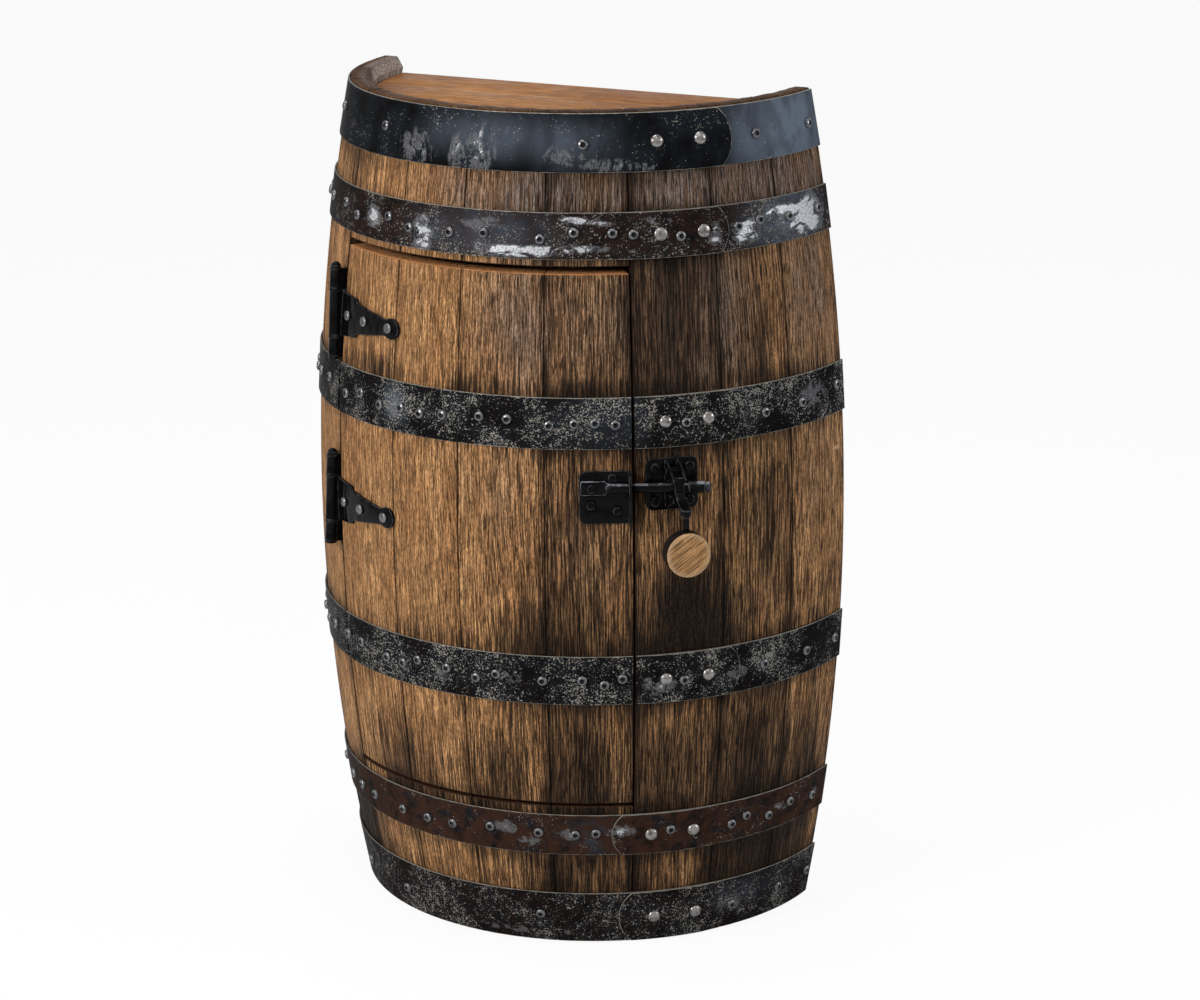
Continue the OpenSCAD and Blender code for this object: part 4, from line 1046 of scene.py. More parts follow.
@dataclass
class StaveSet:
    """The ten staves, four of them sawn across twice for the door."""

    shape: BarrelShape
    corner: float = 0.9 * MM
    end_round: float = 1.5 * MM
    row_step: float = 9 * MM
    chime_bevel: float = 9 * MM
    chime_bevel_h: float = 12 * MM
    croze_depth: float = 5 * MM
    croze_w: float = 5 * MM
    top_croze: float = 25.5 * MM
    bottom_croze: float = 35.5 * MM
    even_from: float = 2.2 * MM
    relief: float = 0.16 * MM
    relief_seed: int = 40
    wear_seed: int = 90
    hollow: float = 0.25 * MM
    wear: float = 0.45 * MM
    wear_reach: float = 4 * MM
    across: int = 17
    smooth: float = 40
    pocket_gap: float = 0.3 * MM
    pocket_side: float = 1.2 * MM
    # Cut faces in the seams and gaps: their dark colour is painted shade
    gap_shade_cut: float = 0.5
    rear_cut: float = 0.8
    fresh_cut: float = 1.0
    seed_step: float = 1.7
    tones: tuple[float, ...] = (0.1, 0.05, 0.02, -0.1, -0.2, -0.12, 0.0, 0.16, 0.02, -0.1)

    def rows(self, low: float, high: float) -> Array:
        """Heights of the rows: close together at the ends and at the bevel and groove, else evenly spaced.

        Args:
            low: Lower end of the stave.
            high: Upper end.

        Returns:
            Rising heights.
        """
        ends = np.array([0, 0.1, 0.3, 0.6, 1]) * self.end_round
        count = max(8, int((high - low) / self.row_step))
        heights = [low + ends, np.linspace(low + self.even_from, high - self.even_from, count), high - ends[::-1]]
        tiny = 0.05 * MM
        groove = np.array([0, tiny, self.croze_w - tiny, self.croze_w])
        if low == 0:
            heights.append(np.append(self.bottom_croze + groove, self.chime_bevel_h))
        if high == self.shape.height:
            heights.append(high - np.append(self.top_croze + groove, self.chime_bevel_h))
        return np.unique(np.round(np.concatenate(heights), 6))

    def inner_reach(self, z: Array) -> Array:
        """Inside radius with the chime's bevel and the croze groove.

        Args:
            z: Heights.

        Returns:
            Radii: the inside arc, moved out by the bevel near an end and by the groove's depth inside the groove.
        """
        reach = self.shape.inner_r(z)
        from_end = np.minimum(z, self.shape.height - z)
        flat = float(self.shape.stave_r(0)) - self.shape.stave_t + self.chime_bevel
        share = np.clip(1 - from_end / self.chime_bevel_h, 0, 1)
        reach = np.where(share > 0, reach + (flat - self.shape.inner_r(0)) * share, reach)
        tiny = 0.02 * MM
        low_start, high_stop = self.bottom_croze, self.shape.height - self.top_croze
        in_low = (z > low_start + tiny) & (z < low_start + self.croze_w - tiny)
        in_high = (z < high_stop - tiny) & (z > high_stop - self.croze_w + tiny)
        return reach + np.where(in_low | in_high, self.croze_depth, 0)

    def grid(self, index: int, low: float, high: float, gaps: tuple[float, float]) -> tuple[Array, Array, Array, int]:
        """The stave's surface: a rounded section carried up the bow.

        A point sits at angle = edge + arc distance from the side / radius, at the outside or inside radius, moved in
        by corner - sqrt(corner^2 - (corner - distance)^2) beside the corners and the same way beside the ends.

        Args:
            index: Number of the stave from the left rear.
            low: Lower end.
            high: Upper end.
            gaps: Half gaps to the left and right neighbours, in metres.

        Returns:
            Points, distance from the nearest side, heights of the rows, and points in one loop.
        """
        z = self.rows(low, high)[:, None]
        beta = np.linspace(0, np.pi / 2, 5)
        corner_s, corner_d = self.corner * (1 - np.cos(beta)), self.corner * (1 - np.sin(beta))
        reach = self.shape.stave_r(z)
        start = np.radians(self.shape.edge(index)) + gaps[0] / reach
        finish = np.radians(self.shape.edge(index + 1)) - gaps[1] / reach
        width = (finish - start) * reach
        inner = np.linspace(0, 1, self.across + 2)[None, 1:-1]
        middle = self.corner + (width - 2 * self.corner) * inner
        side = np.concatenate((np.broadcast_to(corner_s, (len(z), 5)), middle,
                               width - np.broadcast_to(corner_s[::-1], (len(z), 5))), axis=1)
        drop = np.concatenate((corner_d, np.zeros(inner.shape[1]), corner_d[::-1]))[None, :]
        from_end = np.minimum(z - low, high - z)
        rest = np.maximum(0, self.end_round - from_end)
        inset = self.end_round - np.sqrt(np.maximum(0, self.end_round ** 2 - rest ** 2))
        squeeze = np.clip(side / width, 0, 1)
        side = side + inset * (1 - 2 * squeeze)
        turn = start + side / reach
        uneven = self.relief * (ripple(turn * 60, z * 9, self.relief_seed + index) - 1)
        cup = -self.hollow * (1 - (2 * squeeze - 1) ** 2)
        outer = reach - drop - inset + np.where(drop > 0, 0, uneven + cup)
        within = self.inner_reach(z) + drop * 0.5 + inset
        height_out = np.broadcast_to(z, turn.shape).copy()
        worn = np.maximum(0, ripple(turn * 45, turn * 13, self.wear_seed + index) + 1) * self.wear
        fade = np.clip(1 - (high - z) / self.wear_reach, 0, 1) if high == self.shape.height else 0
        height_out = height_out - worn * fade
        outside = from_cylinder(turn, outer, height_out)
        inside = from_cylinder(turn, within, height_out)[:, ::-1]
        points = np.concatenate((outside, inside), axis=1)
        distance = np.minimum(side, width - side)
        return points, np.concatenate((distance, distance[:, ::-1]), axis=1), z[:, 0], points.shape[1]

    def stave(self, index: int, low: float, high: float, node: str, finish: Material) -> None:
        """Builds one stave and puts it in its node's place.

        Args:
            index: Number of the stave from the left rear.
            low: Lower end.
            high: Upper end.
            node: The CAD node.
            finish: The oak.
        """
        shape = self.shape
        door = low == shape.door_low
        whole = low == 0 and high == shape.height
        seams = ((door and index == shape.door_first) or (whole and index == shape.door_last),
                 (door and index == shape.door_last - 1) or (whole and index == shape.door_first - 1))
        gaps = tuple(shape.seam / 2 if seam else shape.joint / 2 for seam in seams)
        last = len(shape.stave_turns) - 1
        gaps = (0.0 if index == 0 else gaps[0], 0.0 if index == last else gaps[1])
        points, distance, z, loop = self.grid(index, low, high, gaps)
        half = loop // 2
        sawn = np.zeros(points.shape[:2])
        # Cut faces in the seams and gaps are painted dark as shade, the rear edges are newer cuts, and the door's top
        # is fresh
        if low > 0:
            sawn[z < low + self.end_round] = self.gap_shade_cut
        if high < shape.height:
            sawn[z > high - self.end_round] = self.fresh_cut if door else self.gap_shade_cut
        if seams[0] or index == 0:
            sawn[:, [0, 1, 2, -1, -2, -3]] = self.gap_shade_cut if seams[0] else self.rear_cut
        if seams[1] or index == last:
            sawn[:, half - 3:half + 3] = self.gap_shade_cut if seams[1] else self.rear_cut
        shell = Shell.empty("seam", "sawn", "tone", "seed")
        shell.add(points, sweep_faces(len(z), loop), seam=distance, sawn=sawn, tone=self.tones[index],
                  seed=index * self.seed_step)
        piece = shell.build("wood_" + node, self.smooth)
        if node == "left_stave_hinge":
            self._let_in(piece)
        stand_in(piece, node, finish)

    def _let_in(self, piece: bpy.types.Object) -> None:
        """Cuts the two pockets for the hinge leaves into the seam edge of a stave."""
        fitting = HingeSet(self.shape)
        unit = np.array([(x, y, k) for x in (0, 1) for y in (0, 1) for k in (0, 1)], float)
        sides = [(0, 1, 3, 2), (4, 6, 7, 5), (0, 4, 5, 1), (2, 3, 7, 6), (0, 2, 6, 4), (1, 5, 7, 3)]
        reach = fitting.half + self.pocket_gap
        size = np.array((fitting.leaf, fitting.off + fitting.leaf + MM + self.pocket_gap, 2 * reach))
        corner = np.array((self.pocket_side, -MM, -reach))
        for z in fitting.heights:
            cutter = Shell.empty()
            cutter.add(fitting.frame_at(z).place(corner + unit * size), sides)
            tool = cutter.build("cutter")
            cut = piece.modifiers.new("pocket", "BOOLEAN")
            cut.object, cut.operation, cut.solver = tool, "DIFFERENCE", "EXACT"
            graph = bpy.context.evaluated_depsgraph_get()
            mesh = bpy.data.meshes.new_from_object(piece.evaluated_get(graph), preserve_all_data_layers=True,
                                                   depsgraph=graph)
            piece.modifiers.clear()
            piece.data = mesh
            bpy.data.objects.remove(tool)
        piece.data.set_sharp_from_angle(angle=math.radians(self.smooth))

    def build(self, finish: Material) -> None:
        """Builds all eighteen pieces of oak."""
        shape = self.shape
        whole = ("left_stave_rear", "left_stave_middle", "left_stave_hinge", None, None, None, None,
                 "right_stave_latch", "right_stave_middle", "right_stave_rear")
        for index, node in enumerate(whole):
            if node:
                self.stave(index, 0.0, shape.height, node, finish)
                continue
            number = index - shape.door_first + 1
            self.stave(index, shape.door_high + shape.door_top_gap, shape.height, f"upper_stave_{number}", finish)
            self.stave(index, 0.0, shape.door_low - shape.door_low_gap, f"lower_stave_{number}", finish)
            self.stave(index, shape.door_low, shape.door_high, f"door_stave_{number}", finish)


@dataclass(frozen=True)
class HingeSet:
    """The two tee hinges on one straight axis that leans with the staves."""

    shape: BarrelShape
    heights: tuple[float, float] = (657 * MM, 456.96 * MM)
    off: float = 8.6 * MM
    half: float = 47.5 * MM
    leaf: float = 20 * MM

    @property
    def turn(self) -> float:
        """Angle of the hinge axis in degrees."""
        return self.shape.edge(self.shape.door_first) - 1

    def frame_at(self, z: float) -> Spot:
        """The hinge's own directions: x to the right, y into the barrel, z along the pin."""
        upper, lower = self.heights
        lean = math.atan(float(self.shape.stave_r(lower) - self.shape.stave_r(upper)) / (upper - lower))
        angle, reach = math.radians(self.turn), float(self.shape.stave_r(z)) + self.off
        spin = np.array(((math.cos(angle), -math.sin(angle), 0), (math.sin(angle), math.cos(angle), 0), (0, 0, 1)))
        tilt = np.array(((1, 0, 0), (0, math.cos(-lean), -math.sin(-lean)), (0, math.sin(-lean), math.cos(-lean))))
        return Spot(spin @ np.array((0, -reach, z)), (spin @ tilt).T)

    def build(self, black: Material, zinc: Material) -> None:
        """Eases and dresses leaves, straps, pins and their screws."""
        for level in ("upper", "lower"):
            for part, ease in (("leaf", 0.35), ("strap", 0.45), ("pin", 0.5)):
                EasedPart(f"{level}_hinge_{part}", "black_iron", ease * MM).build(black)
        for node in ("strap_screws", "leaf_screws"):
            EasedPart(node, "zinc_steel", 0.3 * MM).build(zinc)


@dataclass(frozen=True)
class LatchSet:
    """The gate latch: plate and bar on the door, base, pin and lever beside it, and their screws and bolts."""

    eases: tuple[tuple[str, float], ...] = (
        ("striker_plate", 0.45), ("striker_bar", 0.6), ("latch_base", 0.4), ("latch_pin", 0.3), ("latch_lever", 0.45),
        ("striker_screws", 0.35), ("latch_bolts", 0.35))

    def build(self, black: Material, rubbed_and_highlight: Material) -> None:
        """Eases and dresses the latch, its bar in black iron with a painted highlight along its upper side."""
        for node, ease in self.eases:
            EasedPart(node, "black_iron", ease * MM).build(rubbed_and_highlight if node == "striker_bar" else black)


@dataclass
class HoopSet:
    """Six hoops, each a conical strip whose end laps over itself under two rivets."""

    shape: BarrelShape
    thick: float = 2 * MM
    gap: float = 0.15 * MM
    lap: float = 125 * MM
    bite: float = 0.1 * MM
    bands: tuple[tuple[float, float], ...] = ((829 * MM, 58 * MM), (743.5 * MM, 46.5 * MM), (552 * MM, 53 * MM),
                                              (279 * MM, 53 * MM), (106.5 * MM, 46.5 * MM), (2 * MM, 58 * MM))
    tips: tuple[float, ...] = (60.1, 57.4, 57.9, 57.9, 30.8, 32.4)
    cut: float = 3.6 * MM
    corner: float = 0.55 * MM
    tip_share: float = 0.65
    row_turn: float = 1.2
    flat_points: int = 9
    sink: float = 0.05 * MM
    thin: float = 0.12 * MM

    def way(self, hoop: int) -> int:
        """Side that the tip points to: 1 right, -1 left."""
        return -1 if hoop >= 4 else 1

    def middle(self, hoop: int) -> float:
        """Height of a hoop's middle."""
        return self.bands[hoop][0] + self.bands[hoop][1] / 2

    def face_r(self, hoop: int, z: Array) -> Array:
        """Radius that the straight hoop lies against: a line that touches the staves' bow at its middle."""
        low, width = self.bands[hoop]
        low_r, high_r = self.shape.stave_r(low), self.shape.stave_r(low + width)
        bow = self.shape.stave_r(low + width / 2) - (low_r + high_r) / 2
        return low_r + bow + (high_r - low_r) * (z - low) / width

    def root(self, hoop: int) -> float:
        """Angle where the lap leaves the hoop's face."""
        return self.tips[hoop] - self.way(hoop) * self.shape.turn_of(self.lap, self.middle(hoop))

    def rise(self, hoop: int, turn: Array) -> Array:
        """How far the lap stands over the hoop's face: along a tangent from its root, up to one thickness.

        Args:
            hoop: Number of the hoop from the top.
            turn: Angles in degrees.

        Returns:
            Heights in metres.
        """
        reach = float(self.face_r(hoop, self.middle(hoop))) + self.gap + self.thick
        run = (np.asarray(turn, float) - self.root(hoop)) * self.way(hoop)
        tangent = (reach - self.bite) / np.cos(np.radians(np.clip(run, 0, 20))) - reach
        past = (self.tips[hoop] - np.asarray(turn, float)) * self.way(hoop) < -1
        return np.where(past | (run < 0), 0, np.clip(tangent, 0, self.thick))

    def section(self) -> tuple[Array, Array, Array]:
        """A rounded strip section: share across the width, share through the thickness, and corner offsets.

        Returns:
            Across from 0 to 1, outward from 0 to 1, and offsets (across, outward) that round the corners.
        """
        beta = np.linspace(0, np.pi / 2, 4)
        c, steps = self.corner, self.flat_points
        left = np.stack((c * (1 - np.cos(beta)), -c * (1 - np.sin(beta))), axis=-1)
        right = np.stack((-left[::-1, 0], left[::-1, 1]), axis=-1)
        flat = np.linspace(0, 1, steps + 2)[1:-1]
        across = np.concatenate((np.zeros(4), flat, np.ones(4)))
        offset = np.concatenate((left, np.zeros((steps, 2)), right))
        both = np.concatenate((offset, (offset * (1, -1))[::-1]))
        return np.concatenate((across, across[::-1])), np.repeat((1.0, 0.0), len(across)), both

    def strip(self, shell: Shell, hoop: int, turn: Array, low: Array, high: Array, inner: Array, outer: Array,
              lap: Array | float, tip: Array | None = None) -> None:
        """Adds a strip: the rounded section carried round the barrel.

        Args:
            shell: Where it goes.
            hoop: Number of the hoop.
            turn: Angles of the rows in degrees, one row each.
            low: Lower edge of each row.
            high: Upper edge of each row.
            inner: Inner face over the staves, for each row.
            outer: Outer face over the staves, for each row.
            lap: 1 where this strip is the end that lies on top.
            tip: Distance of each row from the rounded tip, where the strip has one.
        """
        across, outward, offset = self.section()
        turn_, low_, high_, inner_, outer_ = (row[:, None] for row in (turn, low, high, inner, outer))
        limit = np.minimum(1, (outer_ - inner_) / (2.2 * self.corner))
        z = low_ + (high_ - low_) * across + offset[None, :, 0] * limit
        reach = self.face_r(hoop, z) + inner_ + (outer_ - inner_) * outward + offset[None, :, 1] * limit
        edge = np.minimum(z - low_, high_ - z)
        if tip is not None:
            # Inside the rounded tip the distance to the outline is the tip's radius less the distance to its centre
            tip_r, back = self.tip_share * self.bands[hoop][1], tip[:, None]
            round_edge = tip_r - np.hypot(tip_r - back, z - self.middle(hoop))
            edge = np.where(back < tip_r / 2, np.minimum(edge, round_edge), edge)
        points = from_cylinder(np.radians(turn_), reach, z)
        # The section runs up the outside and the rows run round, so the faces are turned over to look outwards
        faces = sweep_faces(len(turn), points.shape[1])[:, ::-1]
        shell.add(points, faces, edge=np.maximum(edge, 0), lap=lap)

    def hoop(self, hoop: int, start: float, finish: float, node: str, finish_look: Material) -> None:
        """Builds one hoop or one part of a sawn hoop.

        Args:
            hoop: Number of the hoop.
            start: First angle in degrees.
            finish: Last angle.
            node: The CAD node that it replaces.
            finish_look: The steel.
        """
        low, width = self.bands[hoop]
        shell = Shell.empty("edge", "lap")
        turn = np.linspace(start, finish, max(12, int((finish - start) / self.row_turn)))
        face = self.gap + self.thick
        ones = np.ones(len(turn))
        self.strip(shell, hoop, turn, low * ones, (low + width) * ones, self.gap * ones, face * ones, 0.0)
        if start < self.tips[hoop] < finish:
            self._lap_end(shell, hoop, start, face)
        piece = shell.build("steel_" + node, 50)
        stand_in(piece, node, finish_look)

    def _lap_end(self, shell: Shell, hoop: int, start: float, face: float) -> None:
        """Adds the end of the strip that lies over its other end, with a rounded tip.

        Half the width at distance d from the tip is sqrt(r^2 - (r - d)^2) up to half the hoop's width.

        Args:
            shell: Where it goes.
            hoop: Number of the hoop.
            start: First angle of the hoop's part in degrees.
            face: Outer face of the hoop over the staves.
        """
        width = self.bands[hoop][1]
        tip_r = self.tip_share * width
        to_full = tip_r - math.sqrt(tip_r ** 2 - width ** 2 / 4)
        phi = np.linspace(0.12, math.acos(1 - to_full / tip_r), 14)
        from_tip = np.concatenate((tip_r * (1 - np.cos(phi)), np.linspace(to_full, self.lap, 40)[1:]))
        turn = self.tips[hoop] - self.way(hoop) * np.degrees(from_tip / float(self.shape.stave_r(self.middle(hoop))))
        keep = turn >= start
        turn, from_tip = turn[keep], from_tip[keep]
        half = np.minimum(width / 2, np.sqrt(np.maximum(0, tip_r ** 2 - np.maximum(0, tip_r - from_tip) ** 2)))
        rise = self.rise(hoop, turn)
        keep = rise > self.thin
        order = np.argsort(turn[keep])
        turn, half, rise, from_tip = turn[keep][order], half[keep][order], rise[keep][order], from_tip[keep][order]
        middle = self.middle(hoop)
        self.strip(shell, hoop, turn, middle - half, middle + half, np.full(len(turn), face - self.sink), face + rise,
                   np.clip(rise / (0.6 * self.thick), 0, 1)[:, None], from_tip)

    def build(self, looks: dict[HoopLook, Material]) -> None:
        """Builds every hoop, whole or sawn at the door seams."""
        fixed = ((0, "top_head_hoop", HoopLook.HEAD), (1, "upper_quarter_hoop", HoopLook.SCRAPED),
                 (4, "lower_quarter_hoop", HoopLook.RUSTY), (5, "bottom_head_hoop", HoopLook.FOOT))
        for number, node, look in fixed:
            self.hoop(number, -90, 90, node, looks[look])
        left, right = self.shape.edge(self.shape.door_first), self.shape.edge(self.shape.door_last)
        for number, name in ((2, "upper_bilge_hoop"), (3, "lower_bilge_hoop")):
            half_cut = self.shape.turn_of(self.cut / 2, self.middle(number))
            steel = looks[HoopLook.SPECKLED]
            self.hoop(number, -90, left - half_cut, name + "_left", steel)
            self.hoop(number, left + half_cut, right - half_cut, name + "_door", steel)
            self.hoop(number, right + half_cut, 90, name + "_right", steel)


@dataclass
class FastenerSet:
    """The hoops' pan head screws with a cross recess, and their dome rivets."""

    shape: BarrelShape
    hoops: HoopSet
    head_r: float = 5.2 * MM
    head_h: float = 3.6 * MM
    head_points: int = 16
    lift: float = 0.1 * MM
    spin_seed: int = 11
    rivet_r: float = 6.9 * MM
    rivet_hs: tuple[float, ...] = (4.5 * MM, 2.6 * MM, 4.5 * MM, 4.5 * MM, 4.2 * MM, 4.5 * MM)
    rivet_tips: tuple[float, ...] = (36 * MM, 28 * MM, 37 * MM, 37 * MM, 41 * MM, 37 * MM)
    rivet_pitch: float = 45.5 * MM
    beaten: float = 0.035
    beaten_seed: int = 300
    scatter: float = 4 * MM
    turns: Table = (
        (-80, -52, -25, 26, 67, 85.5),
        (-84, -76, -67, -58, -50, -39, -32.5, -20.5, -14, -3.3, 4.8, 17, 24, 32, 36.3, 46.3, 59.8, 65.5, 74, 84.4),
        (-84, -75, -64, -56, -49.5, -42, -32.7, -26.6, -20.2, -14, -9, -3.5, 4.8, 10.6, 19, 24, 28, 32, 46, 64, 74,
         86.3),
        (-84, -75, -64, -56, -49.5, -43, -35, -29, -20, -15.2, -11, -3.7, 3, 7.4, 17, 25, 29.4, 33, 45.5, 64, 76,
         86.5),
        (-84, -75, -66, -58, -45, -38.6, -31.6, -20.4, -12.5, -5.5, 4, 15, 23, 27.4, 43.5, 58.2, 62, 68.4, 75, 83.5),
        (-80, -44.4, -24, 14.4, 60.4, 75, 87))

    def screw(self, shell: Shell, spot: Spot, face: float, spin: float) -> None:
        """Adds one screw head: a low dome of rings, sunk in the shape of a cross at its middle.

        Height over the face is height (1 - 0.4 (r / radius)^2.4), less the recess's depth on the cross.

        Args:
            shell: Where it goes.
            spot: Place on the barrel.
            face: Height of the face under the head.
            spin: Turn of the recess in radians.
        """
        count, tall = self.head_points, self.head_h
        angle = np.arange(count) * 2 * np.pi / count + spin
        share = np.array((1.0, 1.0, 0.93, 0.74, 0.5, 0.46, 0.2))
        level = face + tall * (1 - 0.4 * share ** 2.4)
        level[0], level[1] = face + self.lift, face + 0.42 * tall
        rings = np.empty((len(share), count, 3))
        rings[..., 0] = self.head_r * share[:, None] * np.cos(angle)
        rings[..., 1] = self.head_r * share[:, None] * np.sin(angle)
        rings[..., 2] = level[:, None]
        arm = np.arange(count) % 4 == 0
        rings[5, arm, 2] -= 0.3 * tall
        rings[6, :, 2] -= 0.45 * tall
        poles = [[0, 0, face + 0.45 * tall], [0, 0, face + self.lift]]
        points = np.concatenate((rings.reshape(-1, 3), poles))
        faces = dome_faces(len(share), count, len(points) - 2, len(points) - 1)
        pit = np.zeros(len(points))
        # The cross recess and the middle of the head take painted shade
        pit[5 * count:7 * count], pit[4 * count:5 * count], pit[-2] = 1, 0.35, 1
        shell.add(spot.place(points), faces, pit=pit)

    def seat(self, hoop: int, turn: float) -> float:
        """Height of a hoop's face under a screw, where the lap is thicker."""
        beside = turn + self.hoops.way(hoop) * self.shape.turn_of(self.head_r, self.hoops.middle(hoop))
        return self.hoops.gap + self.hoops.thick + float(self.hoops.rise(hoop, beside))

    def build_hoop_screws(self, finish: Material) -> None:
        """Builds the screws of the hoops, those on the door as a piece of their own."""
        draw = np.random.default_rng(self.spin_seed)
        sets = {"hoop_screws": Shell.empty("pit"), "door_hoop_screws": Shell.empty("pit")}
        left, right = self.shape.edge(self.shape.door_first), self.shape.edge(self.shape.door_last)
        for hoop, angles in enumerate(self.turns):
            for turn in angles:
                swing = math.sin(math.radians(turn * 137.5 + hoop * 60))
                spot = self.shape.spot(turn, self.hoops.middle(hoop) + self.scatter * swing)
                on_door = hoop in (2, 3) and left < turn < right
                self.screw(sets["door_hoop_screws" if on_door else "hoop_screws"], spot, self.seat(hoop, turn),
                           draw.uniform(0, 1.5))
        for node, shell in sets.items():
            stand_in(shell.build("cross_" + node, 50), node, finish)

    def build_rivets(self, finish: Material) -> None:
        """Builds the dome rivets, each beaten a little out of round."""
        shell = Shell.empty()
        count, rings = 28, 9
        theta = np.linspace(0, np.pi / 2, rings)[:, None]
        angle = (np.arange(count) * 2 * np.pi / count)[None, :]
        face = self.hoops.gap + 2 * self.hoops.thick + self.lift
        for hoop, tall in enumerate(self.rivet_hs):
            middle = self.hoops.middle(hoop)
            for number in range(2):
                arc = self.rivet_tips[hoop] + number * self.rivet_pitch
                turn = self.hoops.tips[hoop] - self.hoops.way(hoop) * self.shape.turn_of(arc, middle)
                seed = self.beaten_seed + hoop * 2 + number
                wave = ripple(np.cos(angle) * 3 + theta * 2, np.sin(angle) * 3, seed)
                beat = 1 + self.beaten * (wave - 1) * np.sin(theta)
                reach = self.rivet_r * np.cos(theta) * beat
                grid = np.stack((reach * np.cos(angle), reach * np.sin(angle), face + tall * np.sin(theta) * beat),
                                axis=-1)[:-1]
                foot = grid[:1] - (0, 0, self.lift)
                poles = [[0, 0, face + tall * 0.97], [0, 0, face - self.lift]]
                points = np.concatenate((np.concatenate((foot, grid)).reshape(-1, 3), poles))
                faces = dome_faces(rings, count, len(points) - 2, len(points) - 1)
                shell.add(self.shape.spot(turn, middle).place(points), faces)
        stand_in(shell.build("beaten_hoop_rivets", 60), "hoop_rivets", finish)


@dataclass
class Knob:
    """The turned disc of stave oak that hangs on the latch lever, its side charred as the barrel's inside was."""

    shape: BarrelShape
    turn: float = 43.0
    z: float = 514 * MM
    up: float = -61 * MM
    out: float = 52 * MM
    radius: float = 22.75 * MM
    thick: float = 19 * MM
    round_over: float = 1.6 * MM
    around: int = 96

    def build(self, finish: Material) -> None:
        """Turns the rounded profile about the disc's axis: radius and depth along the profile, angle round it."""
        arc = np.linspace(0, np.pi / 2, 6)
        r, c, half = self.radius, self.round_over, self.thick / 2
        back_r, back_h = r - c + c * np.sin(arc), -half + c - c * np.cos(arc)
        flat = np.linspace(0, r - c, 7)[1:-1]
        reach = np.concatenate((flat, back_r, [r], back_r[::-1], flat[::-1]))
        level = np.concatenate((np.full(5, -half), back_h, [half - c - 0.1 * MM], -back_h[::-1], np.full(5, half)))
        count = self.around
        angle = np.arange(count) * 2 * np.pi / count
        grid = np.stack((reach[:, None] * np.cos(angle), self.up + reach[:, None] * np.sin(angle),
                         self.out + np.broadcast_to(level[:, None], (len(level), count))), axis=-1)
        points = np.concatenate((grid.reshape(-1, 3), [[0, self.up, self.out - half], [0, self.up, self.out + half]]))
        faces = dome_faces(len(reach), count, len(points) - 1, len(points) - 2)
        side = np.repeat((level < half - c) & (reach > r - 1.2 * c), count)
        edge = np.repeat((level > half - 0.6 * c) & (reach > r - 1.1 * c), count)
        shell = Shell.empty("side", "edge")
        shell.add(self.shape.spot(self.turn, self.z).place(points), faces, side=np.append(side, (0, 0)),
                  edge=np.append(edge, (0, 0)))
        stand_in(shell.build("turned_latch_knob", 60), "latch_knob", finish)


